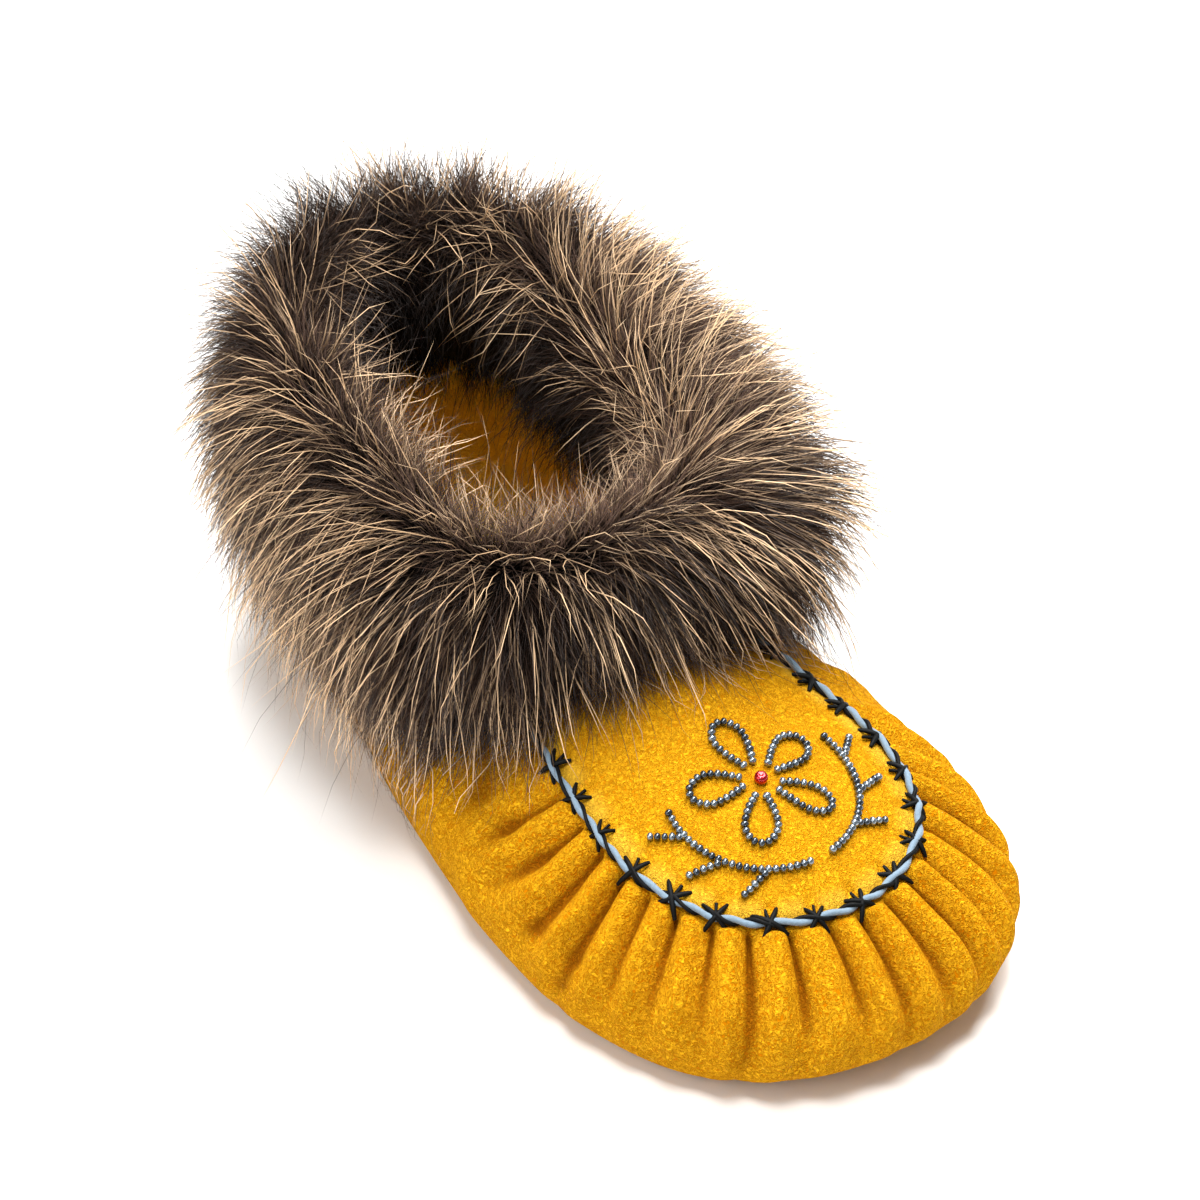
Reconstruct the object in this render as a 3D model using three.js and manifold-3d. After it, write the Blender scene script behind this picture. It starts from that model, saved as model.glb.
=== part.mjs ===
import * as THREE from 'three';
import { mergeVertices } from 'three/addons/utils/BufferGeometryUtils.js';
import Module from 'manifold-3d';

// Fur-trimmed moccasin for the right foot, empty, standing on z = 0.
// Millimetres, +Z up, toe towards -Y, the wearer's other foot towards +X.

// Driving sizes of the hide
const HIDE_LENGTH = 228;
const BALL_WIDTH = 118;
const HEEL_HEIGHT = 66;
const INSTEP_HEIGHT = 61;
const HIDE_THICKNESS = 2;
const GAP = 0.3;

// Left and right curve of the last, and how the soft sole lifts off the floor
const TOE_SWING = 6.8;
const SWING_START = 30;
const TOE_SPRING = 3;
const SPRING_START = -76;
const ARCH_LIFT = 2;
const ARCH_WAIST = 3.5;
const ARCH_MIDDLE = 16;
const ARCH_SPREAD = 26;
const SOLE_FLAT = 0.62;

// One side of the hide from toe to heel, a row per rib.
// Widest line, edge of the flat sole and top edge: X in halves of the ball width,
// Y in hide lengths behind the toe, Z in heel heights. Lean is the top edge's slope in degrees.
const RIBS = [
  // outX, outY, outZ, soleX, soleY, topX, topY, topZ, lean
  [0.000, 0.000, 0.197, 0.000, 0.070, 0.000, 0.108, 0.500, 28],
  [0.441, 0.024, 0.197, 0.373, 0.088, 0.280, 0.125, 0.508, 28],
  [0.788, 0.099, 0.197, 0.661, 0.147, 0.500, 0.173, 0.523, 30],
  [0.966, 0.217, 0.212, 0.797, 0.237, 0.610, 0.257, 0.561, 34],
  [1.000, 0.340, 0.235, 0.805, 0.344, 0.576, 0.366, 0.621, 40],
  [0.949, 0.465, 0.250, 0.746, 0.465, 0.500, 0.487, 0.705, 48],
  [0.873, 0.588, 0.265, 0.678, 0.588, 0.491, 0.596, 0.803, 62],
  [0.780, 0.702, 0.273, 0.593, 0.702, 0.534, 0.706, 0.902, 80],
  [0.729, 0.816, 0.280, 0.551, 0.816, 0.568, 0.811, 0.947, 86],
  [0.636, 0.912, 0.280, 0.475, 0.893, 0.508, 0.893, 0.985, 88],
  [0.364, 0.982, 0.280, 0.263, 0.939, 0.288, 0.952, 1.000, 88],
  [0.000, 1.000, 0.280, 0.000, 0.950, 0.000, 0.974, 1.000, 88],
];
const SIDEWAYS = [0, 3, 5];
const LOWER_SHARE = 0.35;
const RISE_HANDLE = 0.55;
const TOP_HANDLE = 0.45;

// Valleys of the gathered toe along the loop of ribs, toe at 0 and heel at 0.5
const PUCKERS = [
  // place, depth, reach
  [-0.2050, 0.0, 0.58],
  [-0.1860, 2.2, 0.52],
  [-0.1695, 3.2, 0.44],
  [-0.1545, 4.0, 0.38],
  [-0.1390, 5.2, 0.28],
  [-0.1240, 4.2, 0.36],
  [-0.1080, 4.6, 0.32],
  [-0.0890, 4.4, 0.34],
  [-0.0700, 5.4, 0.26],
  [-0.0475, 4.6, 0.32],
  [-0.0235, 4.4, 0.34],
  [-0.0050, 4.6, 0.30],
  [0.0160, 4.4, 0.34],
  [0.0360, 4.6, 0.31],
  [0.0555, 4.2, 0.36],
  [0.0805, 4.4, 0.34],
  [0.1060, 4.2, 0.36],
  [0.1240, 3.8, 0.40],
  [0.1445, 3.0, 0.46],
  [0.1640, 2.0, 0.52],
  [0.1830, 0.0, 0.58],
];
const RIDGE_ROUNDNESS = 0.7;
const PUCKER_FULL = 0.8;
const PUCKER_CLOSING = 0.92;
const PUCKER_SHUT = 0.98;
const FOLD_STEPS = 4;
const HEEL_STEPS = 32;

// Vamp: place of the throat on the loop, and its ridge line from the toe to the heel
const THROAT = 0.247;
const RIDGE_FRONT = 0.237;
const RIDGE_BACK = 0.816;
const RIDGE_SOFTNESS = 9;
const CROWN_POWER = 1.7;
const RIDGE_LINE = [
  // along (hide lengths), height (instep heights)
  [0.200, 0.690],
  [0.260, 0.745],
  [0.330, 0.815],
  [0.400, 0.880],
  [0.480, 0.955],
  [0.535, 1.000],
  [0.640, 1.025],
  [0.760, 1.050],
  [0.900, 1.080],
];

// Insole
const INSOLE_THICKNESS = 3;
const INSOLE_GAP = 0.4;
const INSOLE_FLOOR = 0.98;
const INSOLE_TOP = 1.01;

// Cord over the vamp seam
const CORD_RADIUS = 1.5;
const CORD_END = 0.216;
const CORD_STEPS = 46;
const CORD_SIDES = 6;
const GROOVE_ROOM = 0.5;
const GROOVE_END = 0.002;

// Fur cuff from the throat round the left side and the heel back along the right side, a row per
// station of the collar. The seat lies on the collar edge. Reaches are measured from a point above it.
const CUFF = [
  // seatX, seatY, seatZ, outward, inward, rise, droop
  [0, 6, 61, 21, 15, 26, 24],
  [18, 7, 58, 29, 16, 31, 30],
  [28, 18, 54, 43, 18, 36, 36],
  [31, 42, 58, 43, 18, 40, 36],
  [33, 66, 62, 41, 19, 44, 36],
  [30, 89, 65, 36, 19, 46, 36],
  [17, 103, 66, 29, 18, 48, 36],
  [0, 108, 66, 24, 18, 48, 36],
  [-17, 103, 66, 21, 18, 46, 35],
  [-30, 89, 65, 21, 20, 41, 34],
  [-33, 66, 62, 23, 20, 38, 33],
  [-31, 42, 58, 26, 19, 36, 33],
  [-28, 18, 54, 28, 18, 34, 32],
  [-18, 7, 58, 23, 16, 30, 27],
];
const CUFF_STATIONS = 38;
const CUFF_SIDES = 10;
const CUFF_SETOUT = 6;
const CUFF_LIFT = 4;
const FUR_CLEARANCE = 0.45;
const RIM_CLEARANCE = 0.6;
const FUR_FACET = 0.13;

// Locks of the fur, a row per ring of locks round the cuff
const LOCK_RINGS = [
  // angle (degrees from outward to up), count, length, fall, radius
  [-52, 19, 11, 5, 10],
  [-14, 19, 12, 5, 11],
  [24, 17, 11, 4, 11],
  [62, 15, 9, 2, 11],
  [104, 12, 6, 0, 10],
];
const LOCK_SIDES = 5;
const LOCK_ROOT = 5;
const LOCK_WAIST = 0.7;
const LOCK_LEAN = 0.35;
const LOCK_VARIATION = 0.35;
const LOCK_TILT = 16;
const LOCK_STAGGER = 0.5;
const LOCK_JITTER = 0.4;

// Beadwork: a flower with two leafy sprigs round its lower half
const BEAD_RADIUS = 1.05;
const BEAD_CLEARANCE = 0.35;
const BEAD_SIDES = 5;
const FLOWER_Y = -55;
const PETAL_COUNT = 5;
const PETAL_STEPS = 14;
const PETAL = [
  // out from the flower's middle, half width
  [4.8, 1.3],
  [8.8, 3.0],
  [12.8, 3.7],
  [15.8, 2.2],
  [16.7, 0.0],
];
const CENTRE_RADIUS = 1.7;
const SPRIG_RADIUS = 22.5;
const SPRIG_FROM = -82;
const SPRIG_TO = 12;
const SPRIG_STEPS = 12;
const LEAF_ANGLES = [-58, -32, -6];
const LEAF_LENGTH = 8;
const LEAF_TURN = 42;
const LEAF_STEPS = 4;

// Finishes of the materials
const SUEDE = { color: 0xe2a019, roughness: 0.95, metalness: 0 };
const HAIR = { color: 0x4a3d38, roughness: 0.9, metalness: 0 };
const COTTON = { color: 0x8fa0ad, roughness: 0.7, metalness: 0 };
const STEEL_GLASS = { color: 0x59636e, roughness: 0.2, metalness: 0.6 };
const RED_GLASS = { color: 0xb5121f, roughness: 0.15, metalness: 0.2 };

const wasm = await Module();
wasm.setup();

const UP = new THREE.Vector3(0, 0, 1);
const DEGREE = Math.PI / 180;

const lerp = THREE.MathUtils.lerp;
const clamp = THREE.MathUtils.clamp;
const smoothstep = THREE.MathUtils.smoothstep;

// Rows of one side, mirrored in the named columns into a closed loop
function closedLoop(rows, mirrored) {
  const other = rows.slice(1, -1).reverse().map((row) => {
    return row.map((value, column) => (mirrored.includes(column) ? -value : value));
  });
  return rows.concat(other);
}

// Row of a closed loop at a place from 0 to 1, smooth through every given row
function rowAt(loop, place) {
  const count = loop.length;
  const along = THREE.MathUtils.euclideanModulo(place, 1) * count;
  const first = Math.floor(along);
  const f = along - first;
  const [before, start, end, after] = [-1, 0, 1, 2].map((k) => loop[(first + k + count) % count]);
  return start.map((value, column) => {
    const a = before[column];
    const b = value;
    const c = end[column];
    const d = after[column];
    const slope = c - a;
    const bend = 2 * a - 5 * b + 4 * c - d;
    const twist = 3 * b - a - 3 * c + d;
    return 0.5 * (2 * b + slope * f + bend * f ** 2 + twist * f ** 3);
  });
}

// Value between the rows of a two-column table
function between(table, at) {
  const last = table.length - 1;
  if (at <= table[0][0]) return table[0][1];
  if (at >= table[last][0]) return table[last][1];
  const next = table.findIndex((row) => row[0] > at);
  const [from, low] = table[next - 1];
  const [to, high] = table[next];
  return lerp(low, high, (at - from) / (to - from));
}

const HIDE_LOOP = closedLoop(RIBS, SIDEWAYS);

const lengthwise = (share) => (share - 0.5) * HIDE_LENGTH;
const lengthShare = (y) => y / HIDE_LENGTH + 0.5;

// Sideways swing of the last towards the other foot
function swing(y) {
  const share = clamp((SWING_START - y) / (SWING_START + HIDE_LENGTH / 2), 0, 1);
  return TOE_SWING * share ** 2;
}

const archShare = (y) => Math.exp(-(((y - ARCH_MIDDLE) / ARCH_SPREAD) ** 2));

// Height of the sole's edge over the floor: the toe springs up and the arch lifts the inner edge
function lift(x, y) {
  const toe = clamp((SPRING_START - y) / (HIDE_LENGTH / 2 + SPRING_START), 0, 1);
  const arch = x > 0 ? ARCH_LIFT * archShare(y) : 0;
  return TOE_SPRING * toe ** 2 + arch;
}

// Sizes of the rib at a place on the loop, in millimetres
function ribAt(place) {
  const [outX, outY, outZ, soleX, soleY, topX, topY, topZ, lean] = rowAt(HIDE_LOOP, place);
  const half = BALL_WIDTH / 2;
  const flat = (x, share, waist) => {
    const y = lengthwise(share);
    const tuck = x > 0 ? waist * archShare(y) : 0;
    return new THREE.Vector3(x * half + swing(y) - tuck, y, 0);
  };
  const out = flat(outX, outY, ARCH_WAIST / 2);
  const sole = flat(soleX, soleY, ARCH_WAIST);
  const top = flat(topX, topY, 0);
  return { out, sole, top, outZ: outZ * HEEL_HEIGHT, topZ: topZ * HEEL_HEIGHT, lean: lean * DEGREE };
}

// Hide without its puckers: t runs from the flat sole's edge at 0 to the top edge at 1
function smoothWall(place, t) {
  const { out, sole, top, outZ, topZ, lean } = ribAt(place);
  const point = new THREE.Vector3();
  if (t <= LOWER_SHARE) {
    const angle = (t / LOWER_SHARE) * (Math.PI / 2);
    point.lerpVectors(sole, out, Math.sin(angle));
    point.z = outZ * (1 - Math.cos(angle));
  } else {
    const u = (t - LOWER_SHARE) / (1 - LOWER_SHARE);
    const rise = topZ - outZ;
    const weights = [(1 - u) ** 3, 3 * (1 - u) ** 2 * u, 3 * (1 - u) * u ** 2, u ** 3];
    const inward = [0, 0, 1 - RISE_HANDLE * Math.cos(lean), 1];
    const height = [0, RISE_HANDLE * rise, rise - TOP_HANDLE * rise * Math.sin(lean), rise];
    const total = (values) => values.reduce((sum, value, k) => sum + value * weights[k], 0);
    point.lerpVectors(out, top, total(inward));
    point.z = outZ + total(height);
  }
  point.z += lift(point.x, point.y) * (1 - t);
  return point;
}

// Outward direction of the smooth hide and the way up along its rib
function wallFrame(place, t) {
  const step = 1e-3;
  const low = Math.max(t - step, 0);
  const high = Math.min(t + step, 1);
  const around = smoothWall(place + step, t).sub(smoothWall(place - step, t));
  const upward = smoothWall(place, high).sub(smoothWall(place, low)).normalize();
  const normal = around.cross(upward).normalize();
  return { normal, upward };
}

// How far a fold of the gathered toe stands out of the smooth hide
function pucker(place, t) {
  const turn = place > 0.5 ? place - 1 : place;
  const next = PUCKERS.findIndex((row) => row[0] > turn);
  if (next < 1) return 0;
  const [from, depthFrom, reachFrom] = PUCKERS[next - 1];
  const [to, depthTo, reachTo] = PUCKERS[next];
  const u = (turn - from) / (to - from);
  const ridge = Math.sin(Math.PI * u) ** RIDGE_ROUNDNESS - 0.5;
  const grown = smoothstep(t, lerp(reachFrom, reachTo, u), PUCKER_FULL);
  const open = 1 - smoothstep(t, PUCKER_CLOSING, PUCKER_SHUT);
  return lerp(depthFrom, depthTo, u) * ridge * grown * open;
}

// Point of the hide, a given depth below its outer face
function wall(place, t, depth) {
  const { normal } = wallFrame(place, t);
  return smoothWall(place, t).addScaledVector(normal, pucker(place, t) - depth);
}

// Point of the sole, a share of the way from its middle to its edge, flat in the middle
function solePoint(place, share, height) {
  const { sole } = ribAt(place);
  const outside = Math.max((share - SOLE_FLAT) / (1 - SOLE_FLAT), 0);
  const point = sole.clone().multiplyScalar(share);
  point.z = lift(sole.x, sole.y) * outside + height;
  return point;
}

// Places of the columns: a few to each fold, then even steps round the heel
function hideColumns() {
  const columns = [];
  PUCKERS.slice(0, -1).forEach(([from], row) => {
    const to = PUCKERS[row + 1][0];
    for (let k = 0; k < FOLD_STEPS; k += 1) columns.push(lerp(from, to, k / FOLD_STEPS));
  });
  const last = PUCKERS[PUCKERS.length - 1][0];
  const first = PUCKERS[0][0] + 1;
  for (let k = 0; k < HEEL_STEPS; k += 1) columns.push(lerp(last, first, k / HEEL_STEPS));
  return columns;
}

// Lid over the whole top edge: the vamp's outer face, carried on over the opening
function lidPoint(place, share, edge) {
  const { top } = ribAt(place);
  const front = lengthwise(RIDGE_FRONT);
  const back = lengthwise(RIDGE_BACK);
  const softened = (y) => RIDGE_SOFTNESS * Math.log(1 + Math.exp(y / RIDGE_SOFTNESS));
  const y = front + softened(top.y - front) - softened(top.y - back);
  const height = between(RIDGE_LINE, lengthShare(y)) * INSTEP_HEIGHT;
  const ridge = new THREE.Vector3(swing(y), y, height);
  const point = new THREE.Vector3().lerpVectors(edge, ridge, share);
  point.z = lerp(edge.z, ridge.z, 1 - (1 - share) ** CROWN_POWER);
  return point;
}

const CENTRE = new THREE.Vector3(0, 0, 0);

function geometryFrom(points, faces) {
  const geometry = new THREE.BufferGeometry();
  const flat = points.flatMap((point) => [point.x, point.y, point.z]);
  geometry.setAttribute('position', new THREE.Float32BufferAttribute(flat, 3));
  geometry.setIndex(faces.flat());
  return geometry;
}

// Closed body through a row of rings of equal count, with a point at each end.
// Without an end point, the last ring is folded flat on itself.
function ringSolid(start, rings, end) {
  const count = rings[0].length;
  const points = [start, ...rings.flat(), ...(end ? [end] : [])];
  const last = points.length - 1;
  const at = (ring, k) => 1 + ring * count + (k % count);
  const faces = [];
  for (let k = 0; k < count; k += 1) {
    faces.push([0, at(0, k + 1), at(0, k)]);
    if (end) faces.push([at(rings.length - 1, k), at(rings.length - 1, k + 1), last]);
    for (let ring = 0; ring + 1 < rings.length; ring += 1) {
      faces.push([at(ring, k), at(ring, k + 1), at(ring + 1, k)]);
      faces.push([at(ring, k + 1), at(ring + 1, k + 1), at(ring + 1, k)]);
    }
  }
  return geometryFrom(points, faces);
}

// Closed ring-shaped body: the rings run round the hole and close on each other
function hoopSolid(rings) {
  const count = rings[0].length;
  const at = (ring, k) => (ring % rings.length) * count + (k % count);
  const faces = [];
  for (let ring = 0; ring < rings.length; ring += 1) {
    for (let k = 0; k < count; k += 1) {
      faces.push([at(ring, k), at(ring, k + 1), at(ring + 1, k)]);
      faces.push([at(ring, k + 1), at(ring + 1, k + 1), at(ring + 1, k)]);
    }
  }
  return geometryFrom(rings.flat(), faces);
}

// Plate between two grids whose last columns fold together along the ridge
function foldedPlate(outer, inner) {
  const rows = outer.length;
  const columns = outer[0].length;
  const points = [...outer.flat(), ...inner.flat()];
  const over = (row, column) => row * columns + column;
  const under = (row, column) => (rows + row) * columns + column;
  const faces = [];
  const quad = (a, b, c, d) => faces.push([a, b, c], [a, c, d]);
  for (let row = 0; row + 1 < rows; row += 1) {
    for (let column = 0; column + 1 < columns; column += 1) {
      const [a, b] = [column, column + 1];
      quad(over(row, a), over(row + 1, a), over(row + 1, b), over(row, b));
      quad(under(row, a), under(row, b), under(row + 1, b), under(row + 1, a));
    }
    quad(under(row, 0), under(row + 1, 0), over(row + 1, 0), over(row, 0));
  }
  for (let column = 0; column + 1 < columns; column += 1) {
    const [a, b] = [column, column + 1];
    quad(under(0, a), over(0, a), over(0, b), under(0, b));
    quad(under(rows - 1, a), under(rows - 1, b), over(rows - 1, b), over(rows - 1, a));
  }
  return geometryFrom(points, faces);
}

function toManifold(geometry) {
  const bare = geometry.clone();
  bare.deleteAttribute('normal');
  bare.deleteAttribute('uv');
  const merged = mergeVertices(bare, 1e-4);
  const vertProperties = new Float32Array(merged.attributes.position.array);
  const triVerts = new Uint32Array(merged.index.array);
  return new wasm.Manifold(new wasm.Mesh({ numProp: 3, vertProperties, triVerts }));
}

function fromManifold(solid) {
  const mesh = solid.getMesh();
  const geometry = new THREE.BufferGeometry();
  const positions = new THREE.BufferAttribute(new Float32Array(mesh.vertProperties), 3);
  geometry.setAttribute('position', positions);
  geometry.setIndex(new THREE.BufferAttribute(new Uint32Array(mesh.triVerts), 1));
  return geometry;
}

// Rows, rings and columns of the facets
const OUTER_ROWS = [0.13, 0.24, 0.35, 0.52, 0.67, 0.79, 0.88, 0.94, 1];
const INNER_ROWS = [1, 0.92, 0.8, 0.5, 0.3, 0.14];
const SOLE_RINGS = [SOLE_FLAT, 1];
const VAMP_STEPS = 44;
const VAMP_SHARES = [0, 0.15, 0.4, 0.7, 1];
const VAMP_LEVEL = 0.5;
const INSOLE_STEPS = 48;
const SEAT_STEPS = 80;
const SEAT_ROWS = [0, 0.24, 0.35, 0.52, 0.67, 0.79, 0.88, 0.94, 1];
const SEAT_SHARES = [0, 0.15, 0.4, 0.7, 1];

// Sole and sides in one gathered hide, open at the vamp and the collar
function makeSoleAndSides() {
  const columns = hideColumns();
  const ring = (make) => columns.map(make);
  const rings = [
    ...SOLE_RINGS.map((share) => ring((place) => solePoint(place, share, 0))),
    ...OUTER_ROWS.map((t) => ring((place) => wall(place, t, 0))),
    ...INNER_ROWS.map((t) => ring((place) => wall(place, t, HIDE_THICKNESS))),
    ...SOLE_RINGS.toReversed().map((share) => ring((place) => solePoint(place, share, HIDE_THICKNESS))),
  ];
  return ringSolid(CENTRE, rings, CENTRE.clone().setZ(HIDE_THICKNESS));
}

// Places round the loop in even steps, so that each has its mirror place
function evenPlaces(from, to, steps) {
  return Array.from({ length: steps + 1 }, (unused, k) => lerp(from, to, k / steps));
}

// Vamp, butted to the gathered edge and crowned up to its ridge line
function makeVamp() {
  const places = evenPlaces(-THROAT, THROAT, VAMP_STEPS);
  const outer = places.map((place) => {
    const { upward } = wallFrame(place, 1);
    const edge = smoothWall(place, 1).addScaledVector(upward, GAP);
    return VAMP_SHARES.map((share) => lidPoint(place, share, edge));
  });
  const inner = outer.map((row, k) => {
    const { normal } = wallFrame(places[k], 1);
    return row.map((point, column) => {
      const turned = smoothstep(VAMP_SHARES[column], 0, VAMP_LEVEL);
      const way = normal.clone().lerp(UP, turned).normalize();
      return point.clone().addScaledVector(way, -HIDE_THICKNESS);
    });
  });
  return foldedPlate(outer, inner);
}

// Pad of hide on the inside bottom
function makeInsole() {
  const places = evenPlaces(0, 1, INSOLE_STEPS).slice(0, -1);
  const ring = (share, height) => places.map((place) => solePoint(place, share, height));
  const low = HIDE_THICKNESS + INSOLE_GAP;
  const high = low + INSOLE_THICKNESS;
  const [middle] = SOLE_RINGS;
  const rings = [ring(middle, low), ring(INSOLE_FLOOR, low), ring(INSOLE_TOP, high), ring(middle, high)];
  return ringSolid(CENTRE.clone().setZ(low), rings, CENTRE.clone().setZ(high));
}

// Everything the fur lies on, filled and grown by the fur's clearance
function makeSeat() {
  const places = evenPlaces(0, 1, SEAT_STEPS).slice(0, -1);
  const wallRings = SEAT_ROWS.map((t) => places.map((place) => wall(place, t, -FUR_CLEARANCE)));
  const lidRings = SEAT_SHARES.map((share) => places.map((place) => {
    const edge = wall(place, 1, -FUR_CLEARANCE);
    edge.z = smoothWall(place, 1).z + RIM_CLEARANCE;
    const point = lidPoint(place, share, edge);
    point.z += FUR_CLEARANCE * share;
    return point;
  }));
  return ringSolid(CENTRE.clone().setZ(-FUR_CLEARANCE), [...wallRings, ...lidRings], null);
}

// Seat, outward direction and reaches of the cuff at a place round the collar
function cuffAt(place) {
  const [x, y, z, outward, inward, rise, droop] = rowAt(CUFF, place);
  const step = 1e-3;
  const [x0, y0] = rowAt(CUFF, place - step);
  const [x1, y1] = rowAt(CUFF, place + step);
  const out = new THREE.Vector3(y1 - y0, x0 - x1, 0).normalize();
  const middle = new THREE.Vector3(x, y, z).addScaledVector(out, CUFF_SETOUT);
  middle.z += CUFF_LIFT;
  return { middle, out, outward, inward, rise, droop };
}

// Point and outward direction of the cuff's body, angle from outward to up
function cuffPoint(place, angle) {
  const { middle, out, outward, inward, rise, droop } = cuffAt(place);
  const across = Math.cos(angle) > 0 ? outward : inward;
  const height = Math.sin(angle) > 0 ? rise : droop;
  const point = middle.clone().addScaledVector(out, across * Math.cos(angle));
  point.z += height * Math.sin(angle);
  const normal = out.clone().multiplyScalar(Math.cos(angle) / across);
  normal.z = Math.sin(angle) / height;
  return { point, normal: normal.normalize() };
}

// Even but irregular number from 0 to 1 for the n-th lock
function scatter(n) {
  const stirred = Math.sin(n * 12.9898 + 4.1) * 43758.5453;
  return stirred - Math.floor(stirred);
}

// One lock of fur: a bent, tapering tuft rooted in the cuff's body
function makeLock(root, way, length, fall, radius) {
  const side = new THREE.Vector3().crossVectors(way, UP).normalize();
  const other = new THREE.Vector3().crossVectors(way, side);
  const ring = (along, drop, size) => Array.from({ length: LOCK_SIDES }, (unused, k) => {
    const turn = (2 * Math.PI * k) / LOCK_SIDES;
    const point = root.clone().addScaledVector(way, along);
    point.addScaledVector(side, size * Math.cos(turn));
    point.addScaledVector(other, size * Math.sin(turn));
    point.z -= drop;
    return point;
  });
  const start = root.clone().addScaledVector(way, -LOCK_ROOT);
  const tip = root.clone().addScaledVector(way, length);
  tip.z -= fall;
  const rings = [ring(-LOCK_ROOT, 0, radius), ring(length / 2, fall / 4, radius * LOCK_WAIST)];
  return ringSolid(start, rings, tip);
}

// Fur cuff: a full roll with its locks fused on, fitted over the hide, the vamp and the cord
function makeCuff(cordGroove) {
  const places = evenPlaces(0, 1, CUFF_STATIONS).slice(0, -1);
  const angles = evenPlaces(0, 2 * Math.PI, CUFF_SIDES).slice(0, -1);
  const rings = angles.map((angle) => places.map((place) => cuffPoint(place, angle).point));
  let cuff = toManifold(hoopSolid(rings));
  let count = 0;
  LOCK_RINGS.forEach(([angle, around, length, fall, radius], ring) => {
    for (let k = 0; k < around; k += 1) {
      count += 1;
      const shift = LOCK_STAGGER * (ring % 2) + LOCK_JITTER * scatter(count);
      const place = (k + shift) / around;
      const tilt = (scatter(count + 0.3) - 0.5) * LOCK_TILT;
      const { point, normal } = cuffPoint(place, (angle + tilt) * DEGREE);
      const { out } = cuffAt(place);
      const sideways = out.clone().cross(UP).multiplyScalar(LOCK_LEAN * (2 * scatter(count + 0.6) - 1));
      const way = normal.add(sideways).normalize();
      const reach = length * (1 + LOCK_VARIATION * (2 * scatter(count + 0.9) - 1));
      cuff = cuff.add(toManifold(makeLock(point, way, reach, fall, radius)));
    }
  });
  const fitted = cuff.subtract(toManifold(makeSeat())).subtract(cordGroove);
  return fromManifold(fitted.asOriginal().simplify(FUR_FACET));
}

// Round bar along a curve
function bar(points, radius, sides, steps) {
  const corners = Array.from({ length: sides }, (unused, k) => {
    const turn = (2 * Math.PI * k) / sides;
    return new THREE.Vector2(radius * Math.cos(turn), radius * Math.sin(turn));
  });
  const extrudePath = new THREE.CatmullRomCurve3(points);
  const options = { steps, bevelEnabled: false, extrudePath };
  return new THREE.ExtrudeGeometry(new THREE.Shape(corners), options);
}

// Cord over the seam, lying in the crease between hide and vamp
function makeCord(radius, end) {
  const points = evenPlaces(-end, end, CORD_STEPS).map((place) => {
    const { normal, upward } = wallFrame(place, 1);
    const point = smoothWall(place, 1).addScaledVector(upward, GAP / 2);
    return point.addScaledVector(normal, CORD_RADIUS + GAP);
  });
  return bar(points, radius, CORD_SIDES, CORD_STEPS);
}

// Point just over the vamp, above a point of the beadwork's plan
function overVamp(vamp, across, along, height) {
  const from = new THREE.Vector3(across + swing(FLOWER_Y), along + FLOWER_Y, 2 * HEEL_HEIGHT);
  const ray = new THREE.Raycaster(from, UP.clone().negate());
  const [hit] = ray.intersectObject(vamp);
  return hit.point.clone().addScaledVector(hit.face.normal, height);
}

function beadRow(vamp, plan, steps) {
  const height = BEAD_RADIUS + BEAD_CLEARANCE;
  const points = plan.map(([across, along]) => overVamp(vamp, across, along, height));
  return bar(points, BEAD_RADIUS, BEAD_SIDES, steps);
}

// Petal: a row of beads out from the flower's middle, round the tip and back
function makePetal(vamp, turn) {
  const there = PETAL.map(([out, half]) => [out, half]);
  const back = PETAL.slice(0, -1).reverse().map(([out, half]) => [out, -half]);
  const plan = [...there, ...back].map(([out, half]) => {
    const across = out * Math.cos(turn) - half * Math.sin(turn);
    const along = out * Math.sin(turn) + half * Math.cos(turn);
    return [across, along];
  });
  return beadRow(vamp, plan, PETAL_STEPS);
}

// Sprig: a curved stem of beads with short leaf rows on its outer side
function makeSprig(vamp, side) {
  const onStem = (angle) => {
    const turn = angle * DEGREE;
    return [side * SPRIG_RADIUS * Math.cos(turn), SPRIG_RADIUS * Math.sin(turn)];
  };
  const stem = evenPlaces(SPRIG_FROM, SPRIG_TO, SPRIG_STEPS).map(onStem);
  let sprig = toManifold(beadRow(vamp, stem, SPRIG_STEPS));
  LEAF_ANGLES.forEach((angle) => {
    const [x, y] = onStem(angle);
    const turn = (angle + 90 - LEAF_TURN) * DEGREE;
    const leaf = evenPlaces(0, LEAF_LENGTH, LEAF_STEPS).map((out) => {
      return [x + side * out * Math.cos(turn), y + out * Math.sin(turn)];
    });
    sprig = sprig.add(toManifold(beadRow(vamp, leaf, LEAF_STEPS)));
  });
  return fromManifold(sprig);
}

const group = new THREE.Group();

function addPiece(name, geometry, finish) {
  const mesh = new THREE.Mesh(geometry, new THREE.MeshStandardMaterial(finish));
  mesh.name = name;
  group.add(mesh);
  return mesh;
}

addPiece('sole_and_sides', makeSoleAndSides(), SUEDE);
const vamp = addPiece('vamp', fromManifold(toManifold(makeVamp())), SUEDE);
addPiece('insole', makeInsole(), SUEDE);
addPiece('seam_cord', makeCord(CORD_RADIUS, CORD_END), COTTON);
const groove = makeCord(CORD_RADIUS + GROOVE_ROOM, CORD_END + GROOVE_END);
addPiece('fur_cuff', makeCuff(toManifold(groove)), HAIR);

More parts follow.
